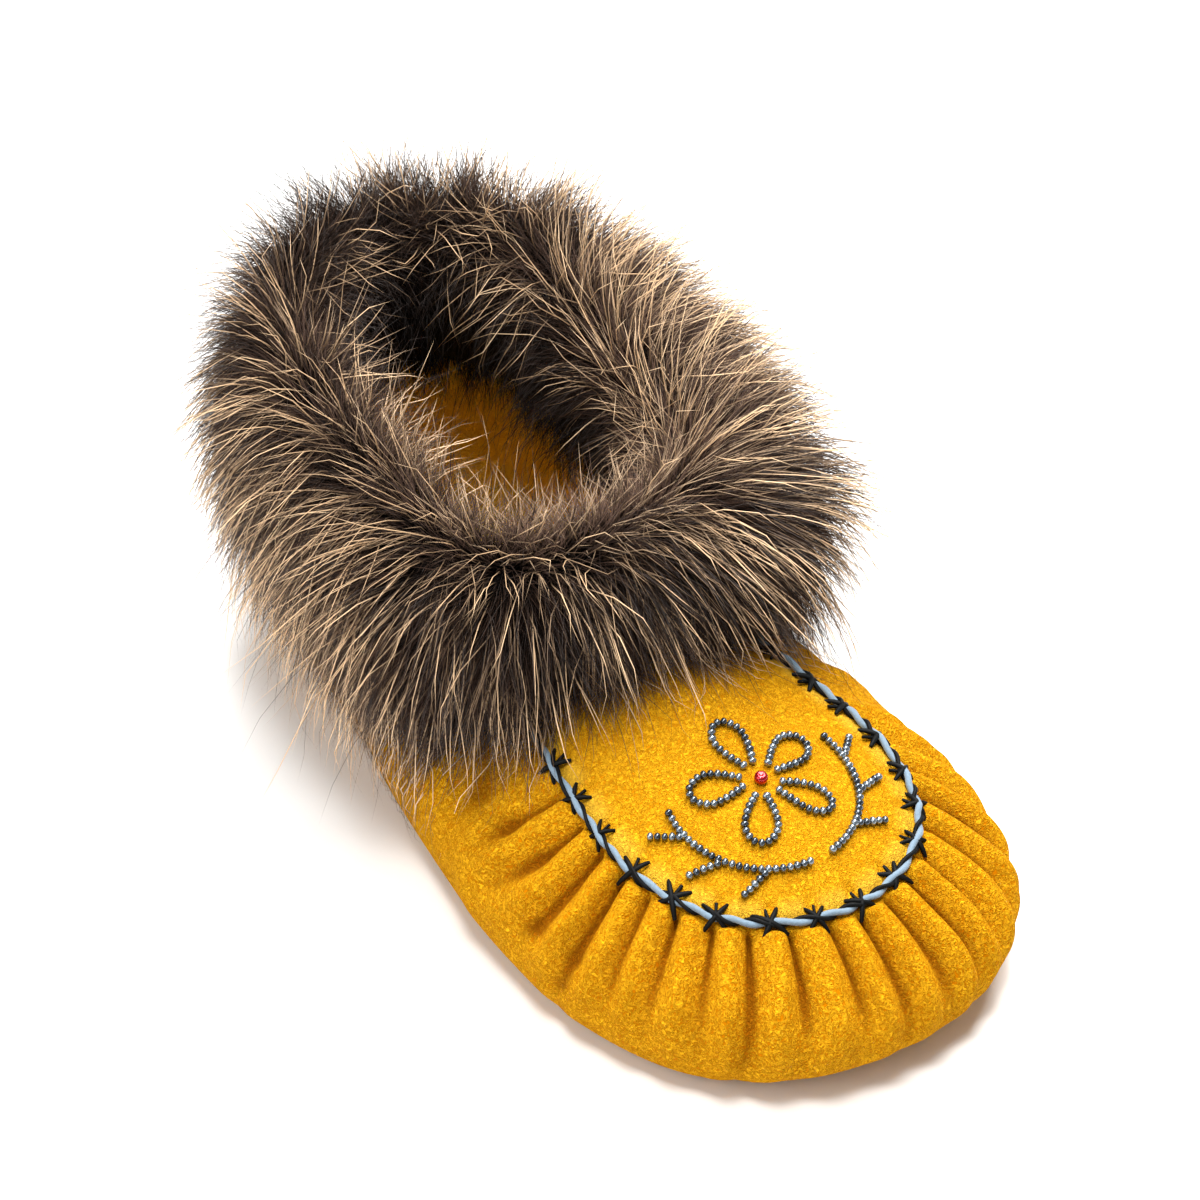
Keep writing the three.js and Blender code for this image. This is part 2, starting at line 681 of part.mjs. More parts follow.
const centre = new THREE.IcosahedronGeometry(CENTRE_RADIUS, 1);
const seat = overVamp(vamp, 0, 0, CENTRE_RADIUS + BEAD_CLEARANCE);
addPiece('centre_bead', centre.translate(seat.x, seat.y, seat.z), RED_GLASS);
for (let k = 0; k < PETAL_COUNT; k += 1) {
  const turn = Math.PI / 2 + (2 * Math.PI * k) / PETAL_COUNT;
  addPiece(`petal_${k + 1}`, makePetal(vamp, turn), STEEL_GLASS);
}
addPiece('sprig_right', makeSprig(vamp, -1), STEEL_GLASS);
addPiece('sprig_left', makeSprig(vamp, 1), STEEL_GLASS);

export default group;
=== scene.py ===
"""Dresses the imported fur-trimmed moccasin: suede, twisted seam cord, cross stitches, beadwork and fur."""
import functools
import math

import bmesh
import bpy
import numpy as np
from bpy.props import FloatProperty, FloatVectorProperty, IntProperty, PointerProperty
from mathutils import Matrix, Vector
from mathutils.bvhtree import BVHTree
from mathutils.kdtree import KDTree


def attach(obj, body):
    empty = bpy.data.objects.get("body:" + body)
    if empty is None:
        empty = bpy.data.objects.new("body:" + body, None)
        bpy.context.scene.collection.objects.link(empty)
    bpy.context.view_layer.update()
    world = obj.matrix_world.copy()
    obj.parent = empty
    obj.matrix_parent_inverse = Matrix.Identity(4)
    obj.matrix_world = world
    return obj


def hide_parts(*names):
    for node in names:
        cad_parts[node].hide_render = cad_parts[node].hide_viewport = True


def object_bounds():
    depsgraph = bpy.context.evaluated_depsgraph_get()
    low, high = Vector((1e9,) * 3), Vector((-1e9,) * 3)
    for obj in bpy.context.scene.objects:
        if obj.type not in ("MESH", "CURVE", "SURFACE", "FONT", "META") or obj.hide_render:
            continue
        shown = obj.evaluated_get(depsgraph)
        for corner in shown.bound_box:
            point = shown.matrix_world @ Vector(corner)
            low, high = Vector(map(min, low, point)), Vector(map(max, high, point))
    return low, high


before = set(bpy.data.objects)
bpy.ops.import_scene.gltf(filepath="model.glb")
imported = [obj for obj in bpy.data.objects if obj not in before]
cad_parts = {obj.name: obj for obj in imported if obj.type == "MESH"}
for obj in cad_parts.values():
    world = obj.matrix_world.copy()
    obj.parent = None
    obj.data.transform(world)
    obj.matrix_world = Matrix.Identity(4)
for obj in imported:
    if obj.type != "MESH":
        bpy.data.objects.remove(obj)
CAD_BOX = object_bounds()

bl_info = {
    "name": "Fur-trimmed moccasin",
    "version": (1, 0, 0),
    "blender": (4, 5, 0),
    "location": "View3D > Sidebar > Moccasin",
    "description": "Makes the moccasin's hide, vamp, insole, cord, stitches, beads, fur and stage",
    "category": "Object",
}

MM = 0.001
SEED = 41

# Small step on a loop or up the wall, for finding directions
LOOP_STEP = 1e-3

# Colour sockets of the Mix node, by number because their names repeat
MIX_FROM = 6
MIX_TO = 7
MIX_RESULT = 2

# Sizes of the hide in millimetres, as in the part's source
HIDE_LENGTH = 228
BALL_WIDTH = 118
HEEL_HEIGHT = 66
INSTEP_HEIGHT = 61
HIDE_THICKNESS = 2
GAP = 0.3
TOE_SWING = 6.8
SWING_START = 30
TOE_SPRING = 3
SPRING_START = -76
ARCH_LIFT = 2
ARCH_WAIST = 3.5
ARCH_MIDDLE = 16
ARCH_SPREAD = 26
SOLE_FLAT = 0.62
LOWER_SHARE = 0.35
RISE_HANDLE = 0.55
TOP_HANDLE = 0.45

# One side of the hide from toe to heel, a row per rib: X in halves of the ball width,
# Y in hide lengths behind the toe, Z in heel heights, lean in degrees
RIBS = np.array([
    # outX, outY, outZ, soleX, soleY, topX, topY, topZ, lean
    [0.000, 0.000, 0.197, 0.000, 0.070, 0.000, 0.108, 0.500, 28],
    [0.441, 0.024, 0.197, 0.373, 0.088, 0.280, 0.125, 0.508, 28],
    [0.788, 0.099, 0.197, 0.661, 0.147, 0.500, 0.173, 0.523, 30],
    [0.966, 0.217, 0.212, 0.797, 0.237, 0.610, 0.257, 0.561, 34],
    [1.000, 0.340, 0.235, 0.805, 0.344, 0.576, 0.366, 0.621, 40],
    [0.949, 0.465, 0.250, 0.746, 0.465, 0.500, 0.487, 0.705, 48],
    [0.873, 0.588, 0.265, 0.678, 0.588, 0.491, 0.596, 0.803, 62],
    [0.780, 0.702, 0.273, 0.593, 0.702, 0.534, 0.706, 0.902, 80],
    [0.729, 0.816, 0.280, 0.551, 0.816, 0.568, 0.811, 0.947, 86],
    [0.636, 0.912, 0.280, 0.475, 0.893, 0.508, 0.893, 0.985, 88],
    [0.364, 0.982, 0.280, 0.263, 0.939, 0.288, 0.952, 1.000, 88],
    [0.000, 1.000, 0.280, 0.000, 0.950, 0.000, 0.974, 1.000, 88],
])
SIDEWAYS = [0, 3, 5]

# Valleys of the gathered toe along the loop of ribs, toe at 0 and heel at 0.5
PUCKERS = np.array([
    # place, depth in mm, reach down the wall
    [-0.2050, 0.0, 0.58],
    [-0.1860, 2.2, 0.52],
    [-0.1695, 3.2, 0.44],
    [-0.1545, 4.0, 0.38],
    [-0.1390, 5.2, 0.28],
    [-0.1240, 4.2, 0.36],
    [-0.1080, 4.6, 0.32],
    [-0.0890, 4.4, 0.34],
    [-0.0700, 5.4, 0.26],
    [-0.0475, 4.6, 0.32],
    [-0.0235, 4.4, 0.34],
    [-0.0050, 4.6, 0.30],
    [0.0160, 4.4, 0.34],
    [0.0360, 4.6, 0.31],
    [0.0555, 4.2, 0.36],
    [0.0805, 4.4, 0.34],
    [0.1060, 4.2, 0.36],
    [0.1240, 3.8, 0.40],
    [0.1445, 3.0, 0.46],
    [0.1640, 2.0, 0.52],
    [0.1830, 0.0, 0.58],
])

# Form of a gather, from sharp at the seam to soft below: heights are shares of the wall,
# places are shares of the loop, the rest are shares of the gather's depth
RIDGE_SHARP = 0.8
RIDGE_SOFT = 1.7
RIDGE_MEAN = 0.46
SHARP_HEIGHTS = (0.5, 0.97)
PUCKER_FULL = 0.7
PUCKER_TOP = 0.95
PUCKER_END = (0.945, 0.992)
REACH_MIDDLE = 0.34
REACH_SPREAD = 2.0
REACH_START = 0.2
REACH_MOST = 0.36
OUTER_GAIN = 0.5
OUTER_PLACES = (0.13, 0.17)
CROWN_SHARE = 0.16
CROWN_TURNS = (5, 3)
RIPPLE_SHARE = 0.075
RIPPLES = [
    # waves up the wall, shift from fold to fold, share
    (9, 2.4, 0.5),
    (21, 5.1, 0.22),
]
TROUGH_SHARE = 0.16
TROUGH_HEIGHTS = (0.6, 0.9)
TROUGH_WIDTH = 0.9
LOOP_LENGTH = 600

# How far the folds lean back along the loop on their way down the wall
FOLD_LEAN = np.array([
    # place, lean
    [-0.190, 0.049],
    [-0.160, 0.020],
    [-0.130, 0.004],
    [0.000, 0.010],
    [0.080, 0.024],
])

# Soft ridges and troughs that run down the wall beside the gathers
SIDE_FOLDS = [
    # place, lean, lowest and highest height share, half width along the loop, height in mm
    (-0.2075, 0.029, 0.20, 0.72, 0.0065, 1.2),
    (-0.2185, 0.000, 0.45, 0.90, 0.0070, -1.4),
    (-0.2360, 0.020, 0.30, 0.80, 0.0080, 0.8),
    (0.1960, -0.020, 0.25, 0.80, 0.0070, 1.0),
    (0.2080, -0.010, 0.40, 0.90, 0.0070, -1.2),
]
SIDE_FOLD_START = 0.2
SIDE_FOLD_END = 0.15

# Soft creases of the hide away from the gathers
CREASES = [
    # place, height share, half length along the loop, half width up the wall, slant, depth in mm
    (-0.196, 0.72, 0.030, 0.055, 1.6, 0.9),
    (-0.176, 0.50, 0.036, 0.050, 1.2, 0.7),
    (-0.150, 0.36, 0.030, 0.040, 0.9, 0.5),
    (-0.060, 0.34, 0.040, 0.035, 0.3, 0.4),
    (0.020, 0.33, 0.040, 0.035, -0.3, 0.4),
    (0.100, 0.42, 0.030, 0.040, -0.9, 0.6),
    (0.170, 0.60, 0.030, 0.050, -1.4, 0.8),
    (0.205, 0.46, 0.030, 0.050, -1.2, 0.7),
    (0.330, 0.55, 0.050, 0.040, 0.4, 0.5),
    (0.440, 0.42, 0.050, 0.040, -0.4, 0.5),
    (-0.330, 0.50, 0.050, 0.040, -0.4, 0.5),
    (-0.430, 0.40, 0.045, 0.040, 0.5, 0.5),
]

# Slow unevenness of the hide, in millimetres, and the heights where it rises and fades
UNEVENNESS = 0.16
UNEVEN_WAVES = [
    # waves round the loop, waves up the wall, shift
    (7, 9, 0.0),
    (13, -7, 1.3),
]
UNEVEN_RISE = (0.1, 0.4)
UNEVEN_FADE = (0.85, 0.97)

# Rings and columns of the hide's mesh
GATHER_COLUMNS = 540
HEEL_COLUMNS = 120
OUTER_ROWS = np.concatenate([
    np.linspace(0.04, 0.5, 22),
    np.linspace(0.51, 0.93, 46),
    np.linspace(0.938, 1, 10),
])
INNER_ROWS = (1, 0.985, 0.96, 0.92, 0.88, 0.8, 0.7, 0.6, 0.45, 0.3, 0.14)
SOLE_SHARES = (0.31, SOLE_FLAT, 0.85, 1.0)

# Painted shade on the nap in the valleys, and the depths in millimetres between which it grows
FOLD_SHADE = 0.9
FOLD_DEPTHS = (0.35, 2.4)

# Nap of the suede: its relief and the size of its patches in millimetres, the rest as shares
NAP_BREAKUP = 2.0
NAP_TWIST = 1.2
NAP_RELIEF = 0.5
FIBRE_SHARE = 0.1
CROSS_FINENESS = 1.15
CROSS_SHIFT = 0.37
CROSS_HEIGHT = 0.7
PATCH_SIZE = 50 / 3
PATCH_NOISE = (0.35, 0.7)
PATCH_SHARE = 0.12

# Vamp
THROAT = 0.247
RIDGE_FRONT = 0.237
RIDGE_BACK = 0.816
RIDGE_SOFTNESS = 9
CROWN_POWER = 1.7
RIDGE_LINE = np.array([
    # along (hide lengths), height (instep heights)
    [0.200, 0.690],
    [0.260, 0.745],
    [0.330, 0.815],
    [0.400, 0.880],
    [0.480, 0.955],
    [0.535, 1.000],
    [0.640, 1.025],
    [0.760, 1.050],
    [0.900, 1.080],
])

# Mesh of the vamp, and its swelling between the stitches in millimetres from the edge and along the seam
VAMP_STEPS = 360
VAMP_TURN = 0.5
WELD = 0.001
VAMP_SHARES = np.concatenate([np.linspace(0, 0.3, 18), np.linspace(0.33, 1, 14)])
PUFF_HEIGHT = 0.55
PUFF_RISE = (0.6, 2.6)
PUFF_FADE = (3, 7.5)
PUFF_PULL = (0.4, 3.6)
DIMPLE_DEPTH = 0.35
DIMPLE_EDGE = 3.4
DIMPLE_WIDTH = 1.8
DIMPLE_LENGTH = 1.3
SWELL_HEIGHT = 0.25
SWELL_TURNS = (0.21, 0.16)
SWELL_SHIFT = 1.1
SWELL_RISE = (4, 14)
RUB_SHARE = 0.45
RUB_FADE = (2, 7)
RUB_PULL = (0.5, 3.2)

# Insole
INSOLE_THICKNESS = 3
INSOLE_GAP = 0.4
INSOLE_COLUMNS = 180
INSOLE_SECTION = [
    # share of the sole, height in mm
    (0.4, 0),
    (SOLE_FLAT, 0),
    (0.9, 0),
    (0.975, 0),
    (0.985, 0.5),
    (0.992, 1.3),
    (0.992, 2.1),
    (0.985, 2.7),
    (0.97, INSOLE_THICKNESS),
    (0.9, INSOLE_THICKNESS),
    (SOLE_FLAT, INSOLE_THICKNESS),
    (0.4, INSOLE_THICKNESS),
]

# Seam between the hide and the vamp, as places on the loop
SEAM_PLACES = np.linspace(-0.26, 0.26, 2601)

# Cord over the seam, in millimetres
CORD_RADIUS = 1.5
CORD_SUNK = 0.2
CORD_END = 0.216
CORD_STEPS = 560
CORD_SIDES = 10
CORD_TWIST = 10.2
CORD_TAPER = 2
CORD_END_SHARE = 0.35
CORD_FIBRE = 0.5
THREAD_FIBRE = 0.4
YARN_RELIEF = 0.2
YARN_PALE = 1.25
YARN_DARK = 0.7
TWIST_SLACK = 0.6
TWIST_SLACK_TURNS = 0.19
CORD_STRANDS = [
    # name, start of its turn, half thickness, distance from the cord's middle
    ("pale", 0.0, 0.78, 0.4),
    ("black", math.pi, 0.56, 0.72),
]

# One cross stitch in millimetres, its arms and its tail in shares of its reach
STITCH_REACH = 3.6
STITCH_HEIGHT = 0.9
STITCH_JITTER = 0.8
STITCH_END_ROOM = 3
STITCH_SIDES = 7
STITCH_STEPS = 12
STITCH_TAPER = 1.5
ARMS = [
    # start, crest, end
    ((-0.78, -0.9, -0.26), (0.0, 0.0, 0.62), (0.78, 0.9, -0.2)),
    ((0.78, -0.9, -0.26), (0.1, 0.0, 0.62), (-0.78, 0.9, -0.2)),
]
TAIL = (0.08, 1.0, -0.2)
STITCH_TILT = (0.05, 0.05, 0.28)
STITCH_SMALLEST = (0.8, 0.85, 0.95)
STITCH_LARGEST = (1.15, 1.12, 1.05)

# Fur cuff from the throat round the left side and the heel back along the right side, in millimetres
CUFF = np.array([
    # seatX, seatY, seatZ, outward, inward, rise, droop
    [0, 6, 61, 21, 15, 26, 24],
    [18, 7, 58, 29, 16, 31, 30],
    [28, 18, 54, 43, 18, 36, 36],
    [31, 42, 58, 43, 18, 40, 36],
    [33, 66, 62, 41, 19, 44, 36],
    [30, 89, 65, 36, 19, 46, 36],
    [17, 103, 66, 29, 18, 48, 36],
    [0, 108, 66, 24, 18, 48, 36],
    [-17, 103, 66, 21, 18, 46, 35],
    [-30, 89, 65, 21, 20, 41, 34],
    [-33, 66, 62, 23, 20, 38, 33],
    [-31, 42, 58, 26, 19, 36, 33],
    [-28, 18, 54, 28, 18, 34, 32],
    [-18, 7, 58, 23, 16, 30, 27],
], dtype=float)
CUFF_SETOUT = 6
CUFF_LIFT = 4
CUFF_HEM = 5
HEM_COSINES = (-0.3, 0.3)
PILE_DEPTH = 10
INNER_DEPTH = 0.8
LOWER_DEPTH = 0.5
SKIN_COLUMNS = 160
SKIN_ROWS = 28

# Hair: angles go round the roll from its outer side over the top, in radians where no unit is given.
# Hairs are drawn about twice as thick as real ones, so that they show from a step away
HAIR_KINDS = [
    # name, title, laid, points, wave, half thickness in mm, pull of the locks, cut inside, lip, pale ends
    ("underfur", "Underfur", 0.72, 2, 0.0, 0.1, 0.25, 0.45, 0.7, 0.0),
    ("middle", "Middle hair", 0.8, 3, 0.16, 0.1, 0.3, 0.45, 0.7, 0.35),
    ("guard", "Guard hair", 0.9, 5, 0.28, 0.112, 0.28, 0.62, -0.1, 1.0),
]
HAIR_SIDES = 3
STEEP = 0.8
HAIR_TAPER = [
    # share of the length, share of the thickness
    (0, 0.8),
    (0.15, 1),
    (0.6, 0.7),
    (1, 0.1),
]
HAIR_DEGREES = (-78, 205)
PIECE_TRIANGLES = 195000

# Combing from the parting on the roll: waves of the parting and the sway round the cuff, and chance spread
PARTING_DEGREES = 123
PARTING_WAVES = [
    # waves round the cuff, shift, size
    (5, 0, 0.25),
    (11, 1, 0.15),
]
PARTING_SPREAD = 0.26
PARTING_WIDTH = 0.8
INNER_TURN = 0.7
INNER_LAID = 1.5
COMB_LIFT = 0.1
COMB_SPREAD = 0.22
SWAYS = [
    # waves round the cuff, waves round the roll, size
    (17, 3, 0.32),
    (41, -5, 0.2),
]
SWAY_SPREAD = 0.36
ROOT_SUNK = 1.0
HAIR_WAVES = 1.4
HAIR_FLOW = 0.16
HAIR_SAG = 0.1
HAIR_BEND = 4.0

# Locks, and the calm ridge of the roll where hairs stand apart
LOCK_COUNT = 1500
LOCK_LENGTHS = (0.8, 1.2)
LOCK_LAID = 0.9
LOCK_POINTS = 5
LOCK_WAVE = 0.07
LOCK_PULLS = (0.35, 1.0)
LOCK_POWER = 1.4
CUFF_ROUND = 300
ROLL_RADIUS = 26
CALM_SHARE = 0.75
CALM_ANGLE = 1.75
CALM_SPREAD = 0.75

# Lengths as shares of the mean: shorter inside the roll, longer over the throat's inner side
LENGTH_SPREAD = (0.65, 1.25)
INNER_DEGREES = (100, 140)
INNER_SHIFT = 20
CUT_BACK = 0.2
CUT_FRONT = 0.45
CUT_LEANING = 0.4
CUT_MOST = 0.93
STRAY_SHARE = 0.1
STRAY_LENGTH = 1.4
LONG_PLACE = 0.15
LONG_SPREAD = 0.07
LONG_GAIN = 0.2
LEANING_PLACE = 0.27
LEANING_SPREAD = 0.1

# Reach past the roll's inner side over the hole, in millimetres
SLACK_SPREAD = (-2, 3)
SLACK_SIDES = 4
SLACK_BACK = 10
SLACK_LEANING = 9
SHORTEST_OVER_HOLE = 0.12

# Room round the solids and over the hide and the floor, in millimetres
PROUD_SHARE = 0.03
PROUD = 8.5
SHORTEST_TRIM = 0.1
FLOOR_CLEARANCE = 0.8
HIGHEST_REST = 70
REST_GAP = 0.4
REST_RISE = 0.6
REST_COLUMNS = 240
REST_ROWS = np.linspace(0.05, 1, 24)
REST_STEPS = 120
REST_SHARES = np.linspace(0, 1, 14)
SKIN_REST_COSINE = -0.2
HAIR_REST_ANGLE = 1.9

# Tone from 0, dark, to 1, pale: chance, stripes and patches of lit hair, the soft lip, and painted shade
# inside the roll with darker hair overall and at the heel
TONE_CHANCE = 0.66
TONE_LIT = 0.34
LIT_MEAN = 0.55
LIT_ENDS = 0.25
LIT_STRIPES = 0.2
LIT_PATCHES = 0.35
LIT_RIGHT = 0.35
STRIPE_WAVES = (9, 4)
PATCH_WAVES = [
    # waves round the cuff, waves round the roll, shift
    (14, -3, 1),
    (6, 5, 0),
]
LIP_ANGLE = 1.9
LIP_SPREAD = 0.5
DARK_INSIDE = 0.7
DARK_INSIDE_FRONT = 0.5
DARK_ALL = 0.03
DARK_BACK = 0.09

# Finish of the hair: shares along a hair and tones between which its colours and its thickness change
LIGHTER = 3.2
DARKER = 0.3
BODY_SHARES = (0.05, 0.75)
PALE_SHARES = (0.2, 0.55)
PALE_TONES = (0.53, 0.67)
THICKNESS_SPREAD = (0.75, 1.25)
THIN = 0.75
PALE_THICKER = 0.95
THICK_TONES = (0.54, 0.7)
STRAND_MARGIN = 0.02
# The skin takes the hairs' near-black root colour from this spot: painted shade at the bottom of the pile
SKIN_SPOT = 0.1

# Beadwork, as in the part's source
FLOWER_Y = -55
PETAL_COUNT = 5
PETAL = [(4.8, 1.3), (8.8, 3.0), (12.8, 3.7), (15.8, 2.2), (16.7, 0.0)]
SPRIG_RADIUS = 22.5
SPRIG_FROM = -82
SPRIG_TO = 12
LEAF_ANGLES = (-58, -32, -6)
LEAF_LENGTH = 8
LEAF_START = 1.5
LEAF_TURN = 42
STEM_POINTS = 13
LEAF_POINTS = 5

# Beads: how high they sit in shares of their radius, the range of their sizes, and the red one's section
BEAD_SEAT = 0.92
BEAD_SMALLEST = (0.9, 0.9, 0.74)
BEAD_LARGEST = (1.04, 1.04, 0.84)
BEAD_SIDES = 10
BEAD_RINGS = 7
ROW_STEPS = 60
RED_BEAD = [
    # radius, height in mm
    (0.55, -1.2),
    (1.15, -1.15),
    (1.5, -0.75),
    (1.65, 0),
    (1.5, 0.75),
    (1.15, 1.15),
    (0.55, 1.2),
]
RED_BEAD_HOLE = 0.9
RED_BEAD_SEAT = 1.3
RED_BEAD_SIDES = 24

# Camera, from the fit of the seam and the outline to the photograph
VIEW_AZIMUTH = -34.66
VIEW_ELEVATION = 40.78
VIEW_DISTANCE = 648
VIEW_TARGET = (0, 20, 36.6)
FOCAL_PIXELS = 2635
FRAME_PIXELS = 1200
CENTRE_PIXELS = (-37, 36)
SENSOR_WIDTH = 36
NEAREST = 0.01

# Floor in millimetres, lamps in metres
FLOOR_HALF = 4000
FLOOR_DROP = 0.2
LAMP_AIM = (0, 0, 0.04)
LAMPS = [
    # name, setting, size, place
    ("Key", "key", 0.8, (0.42, 0.3, 1.12)),
    ("Top", "top", 0.3, (-0.22, -0.16, 1.24)),
    ("Fill", "fill", 0.9, (-1.0, 0.05, 0.7)),
    ("Rim", "rim", 0.5, (0.55, 0.75, 0.75)),
]


def linear(code):
    """sRGB hex code as a linear colour with alpha."""
    parts = [int(code[k:k + 2], 16) / 255 for k in (1, 3, 5)]
    curve = [p / 12.92 if p <= 0.04045 else ((p + 0.055) / 1.055) ** 2.4 for p in parts]
    return (*curve, 1.0)


def colour(name, description, code):
    """Colour property with its default given as sRGB hex."""
    return FloatVectorProperty(
        name=name, description=description, subtype="COLOR", size=4, min=0, max=1, default=linear(code)
    )


class MoccasinHide(bpy.types.PropertyGroup):
    """Suede of the sole, sides, vamp and insole."""

    # Raised nap is painted light on the curls' tops; the colour between the fibres is painted shade between
    # them
    bright: colour("Raised nap", "Colour of nap that catches the light", "#FABA1E")
    shade: colour("Nap in painted shade", "Colour between the fibres", "#BC7001")
    # Painted shade deep in the gathers' valleys
    valley_shade: colour("Painted shade in valleys", "Colour deep in the gathers", "#8E4E04")
    # Rubbed nap along the vamp's seam, and painted light on the hide's inside
    rubbed_and_lit: colour("Rubbed and lit nap", "Colour of nap rubbed flat along the seam and inside", "#FFD048")
    sheen: colour("Sheen", "Tint of the light that the nap's ends catch", "#FF9C10")
    fibre: FloatProperty(
        name="Fibre size", description="Length of the nap's curls",
        default=0.00135, min=0.0002, unit="LENGTH",
    )


class MoccasinFur(bpy.types.PropertyGroup):
    """Hair of the cuff."""

    guard_count: IntProperty(name="Guard hairs", description="Long pale-tipped hairs", default=13500, min=0)
    middle_count: IntProperty(
        name="Middle hairs", description="Hairs between underfur and guard", default=14000, min=0
    )
    under_count: IntProperty(name="Underfur", description="Short soft hairs", default=62000, min=0)
    guard_length: FloatProperty(
        name="Guard length", description="Mean length of the guard hairs", default=0.031, unit="LENGTH"
    )
    middle_length: FloatProperty(
        name="Middle length", description="Mean length of the middle hairs", default=0.022, unit="LENGTH"
    )
    under_length: FloatProperty(
        name="Underfur length", description="Mean length of the underfur", default=0.0165, unit="LENGTH"
    )
    # Near-black roots: partly the hair's own dark base, partly painted shade deep in the pile
    root: colour("Root", "Colour of the hair at the skin", "#0B0807")
    middle: colour("Middle", "Colour of the underfur's ends", "#33261F")
    gold: colour("Gold", "Colour of the darker guard hairs' ends", "#B47A44")
    tip: colour("Tip", "Colour of the palest guard hairs' ends", "#FFDCB0")


class MoccasinTrim(bpy.types.PropertyGroup):
    """Cord, stitches and beads."""

    bead_radius: FloatProperty(
        name="Bead radius", description="Half the bead's thickness", default=0.00105, unit="LENGTH"
    )
    bead_pitch: FloatProperty(
        name="Bead pitch", description="Step from bead to bead", default=0.00158, unit="LENGTH"
    )
    stitch_step: FloatProperty(
        name="Stitch step", description="Step between crosses along the seam", default=0.0112, unit="LENGTH"
    )
    thread: FloatProperty(
        name="Thread radius", description="Half the stitching thread", default=0.00066, unit="LENGTH"
    )
    pale: colour("Pale strand", "Colour of the cord's pale strand", "#768A9A")
    black: colour("Black strand", "Colour of the black strand and the stitches", "#080A0B")
    steel: colour("Steel beads", "Colour of the darkest beads", "#39414A")
    bright_steel: colour("Bright beads", "Colour of the brightest beads", "#8E99A2")
    red: colour("Red bead", "Colour of the flower's middle", "#B8101C")


class MoccasinStage(bpy.types.PropertyGroup):
    """Floor and lights."""

    floor: colour("Floor", "Colour of the floor", "#F4F3F1")
    key: FloatProperty(name="Key light", description="Power of the main light", default=29, unit="POWER")
    fill: FloatProperty(name="Fill light", description="Power of the fill light", default=7, unit="POWER")
    top: FloatProperty(name="Top light", description="Power of the light above", default=12, unit="POWER")
    rim: FloatProperty(name="Rim light", description="Power of the light behind", default=4, unit="POWER")
    sky: FloatProperty(name="Sky", description="Strength of the surrounding light", default=0.31)


# Shape of the hide


def closed_loop(rows, mirrored):
    """Rows of one side, mirrored into a closed loop."""
    other = rows[-2:0:-1].copy()
    other[:, mirrored] *= -1
    return np.vstack([rows, other])


HIDE_LOOP = closed_loop(RIBS, SIDEWAYS)


def rows_at(loop, place):
    """Columns of a closed loop at places from 0 to 1, smooth through every row."""
    count = len(loop)
    along = np.mod(place, 1.0) * count
    first = np.floor(along).astype(int)
    f = (along - first)[..., None]
    a, b, c, d = (loop[(first + k) % count] for k in (-1, 0, 1, 2))
    curve = (2 * a - 5 * b + 4 * c - d) * f**2 + (3 * b - a - 3 * c + d) * f**3
    return np.moveaxis(0.5 * (2 * b + (c - a) * f + curve), -1, 0)


def smoothstep(x, low, high):
    """Smooth rise from 0 at low to 1 at high."""
    u = np.clip((x - low) / (high - low), 0, 1)
    return u * u * (3 - 2 * u)


def unit(v):
    """Vectors along the last axis at length one."""
    return v / np.maximum(np.linalg.norm(v, axis=-1, keepdims=True), 1e-12)


def lengthwise(share):
    """Millimetres along the hide at a share of its length."""
    return (share - 0.5) * HIDE_LENGTH


def swing(y):
    """Sideways swing of the last towards the other foot."""
    share = np.clip((SWING_START - y) / (SWING_START + HIDE_LENGTH / 2), 0, 1)
    return TOE_SWING * share**2


def arch_share(y):
    """Nearness to the middle of the arch."""
    return np.exp(-(((y - ARCH_MIDDLE) / ARCH_SPREAD) ** 2))


def lift(x, y):
    """Height of the sole's edge over the floor."""
    toe = np.clip((SPRING_START - y) / (HIDE_LENGTH / 2 + SPRING_START), 0, 1)
    return TOE_SPRING * toe**2 + np.where(x > 0, ARCH_LIFT * arch_share(y), 0)


def ribs(place):
    """Sizes of the ribs at places on the loop, in millimetres."""
    out_x, out_y, out_z, sole_x, sole_y, top_x, top_y, top_z, lean = rows_at(HIDE_LOOP, place)

    def flat(x, share, waist):
        y = lengthwise(share)
        tuck = np.where(x > 0, waist * arch_share(y), 0)
        return x * BALL_WIDTH / 2 + swing(y) - tuck, y

    return {
        "out": flat(out_x, out_y, ARCH_WAIST / 2),
        "sole": flat(sole_x, sole_y, ARCH_WAIST),
        "top": flat(top_x, top_y, 0),
        "out_z": out_z * HEEL_HEIGHT,
        "top_z": top_z * HEEL_HEIGHT,
        "lean": np.radians(lean),
    }


def smooth_wall(place, t):
    """Hide without its folds, t from the flat sole's edge at 0 to the top edge at 1."""
    place, t = np.broadcast_arrays(place, t)
    r = ribs(place)
    angle = np.clip(t / LOWER_SHARE, 0, 1) * np.pi / 2
    u = np.clip((t - LOWER_SHARE) / (1 - LOWER_SHARE), 0, 1)
    rise = r["top_z"] - r["out_z"]
    w1, w2, w3 = 3 * (1 - u) ** 2 * u, 3 * (1 - u) * u**2, u**3
    inward = w2 * (1 - RISE_HANDLE * np.cos(r["lean"])) + w3
    height = rise * (w1 * RISE_HANDLE + w2 * (1 - TOP_HANDLE * np.sin(r["lean"])) + w3)
    outward = np.sin(angle)
    low = t <= LOWER_SHARE
    flat = []
    for axis in (0, 1):
        sole, out, top = r["sole"][axis], r["out"][axis], r["top"][axis]
        flat.append(np.where(low, sole + (out - sole) * outward, out + (top - out) * inward))
    z = np.where(low, r["out_z"] * (1 - np.cos(angle)), r["out_z"] + height)
    z = z + lift(flat[0], flat[1]) * (1 - t)
    return np.stack([flat[0], flat[1], z], axis=-1)


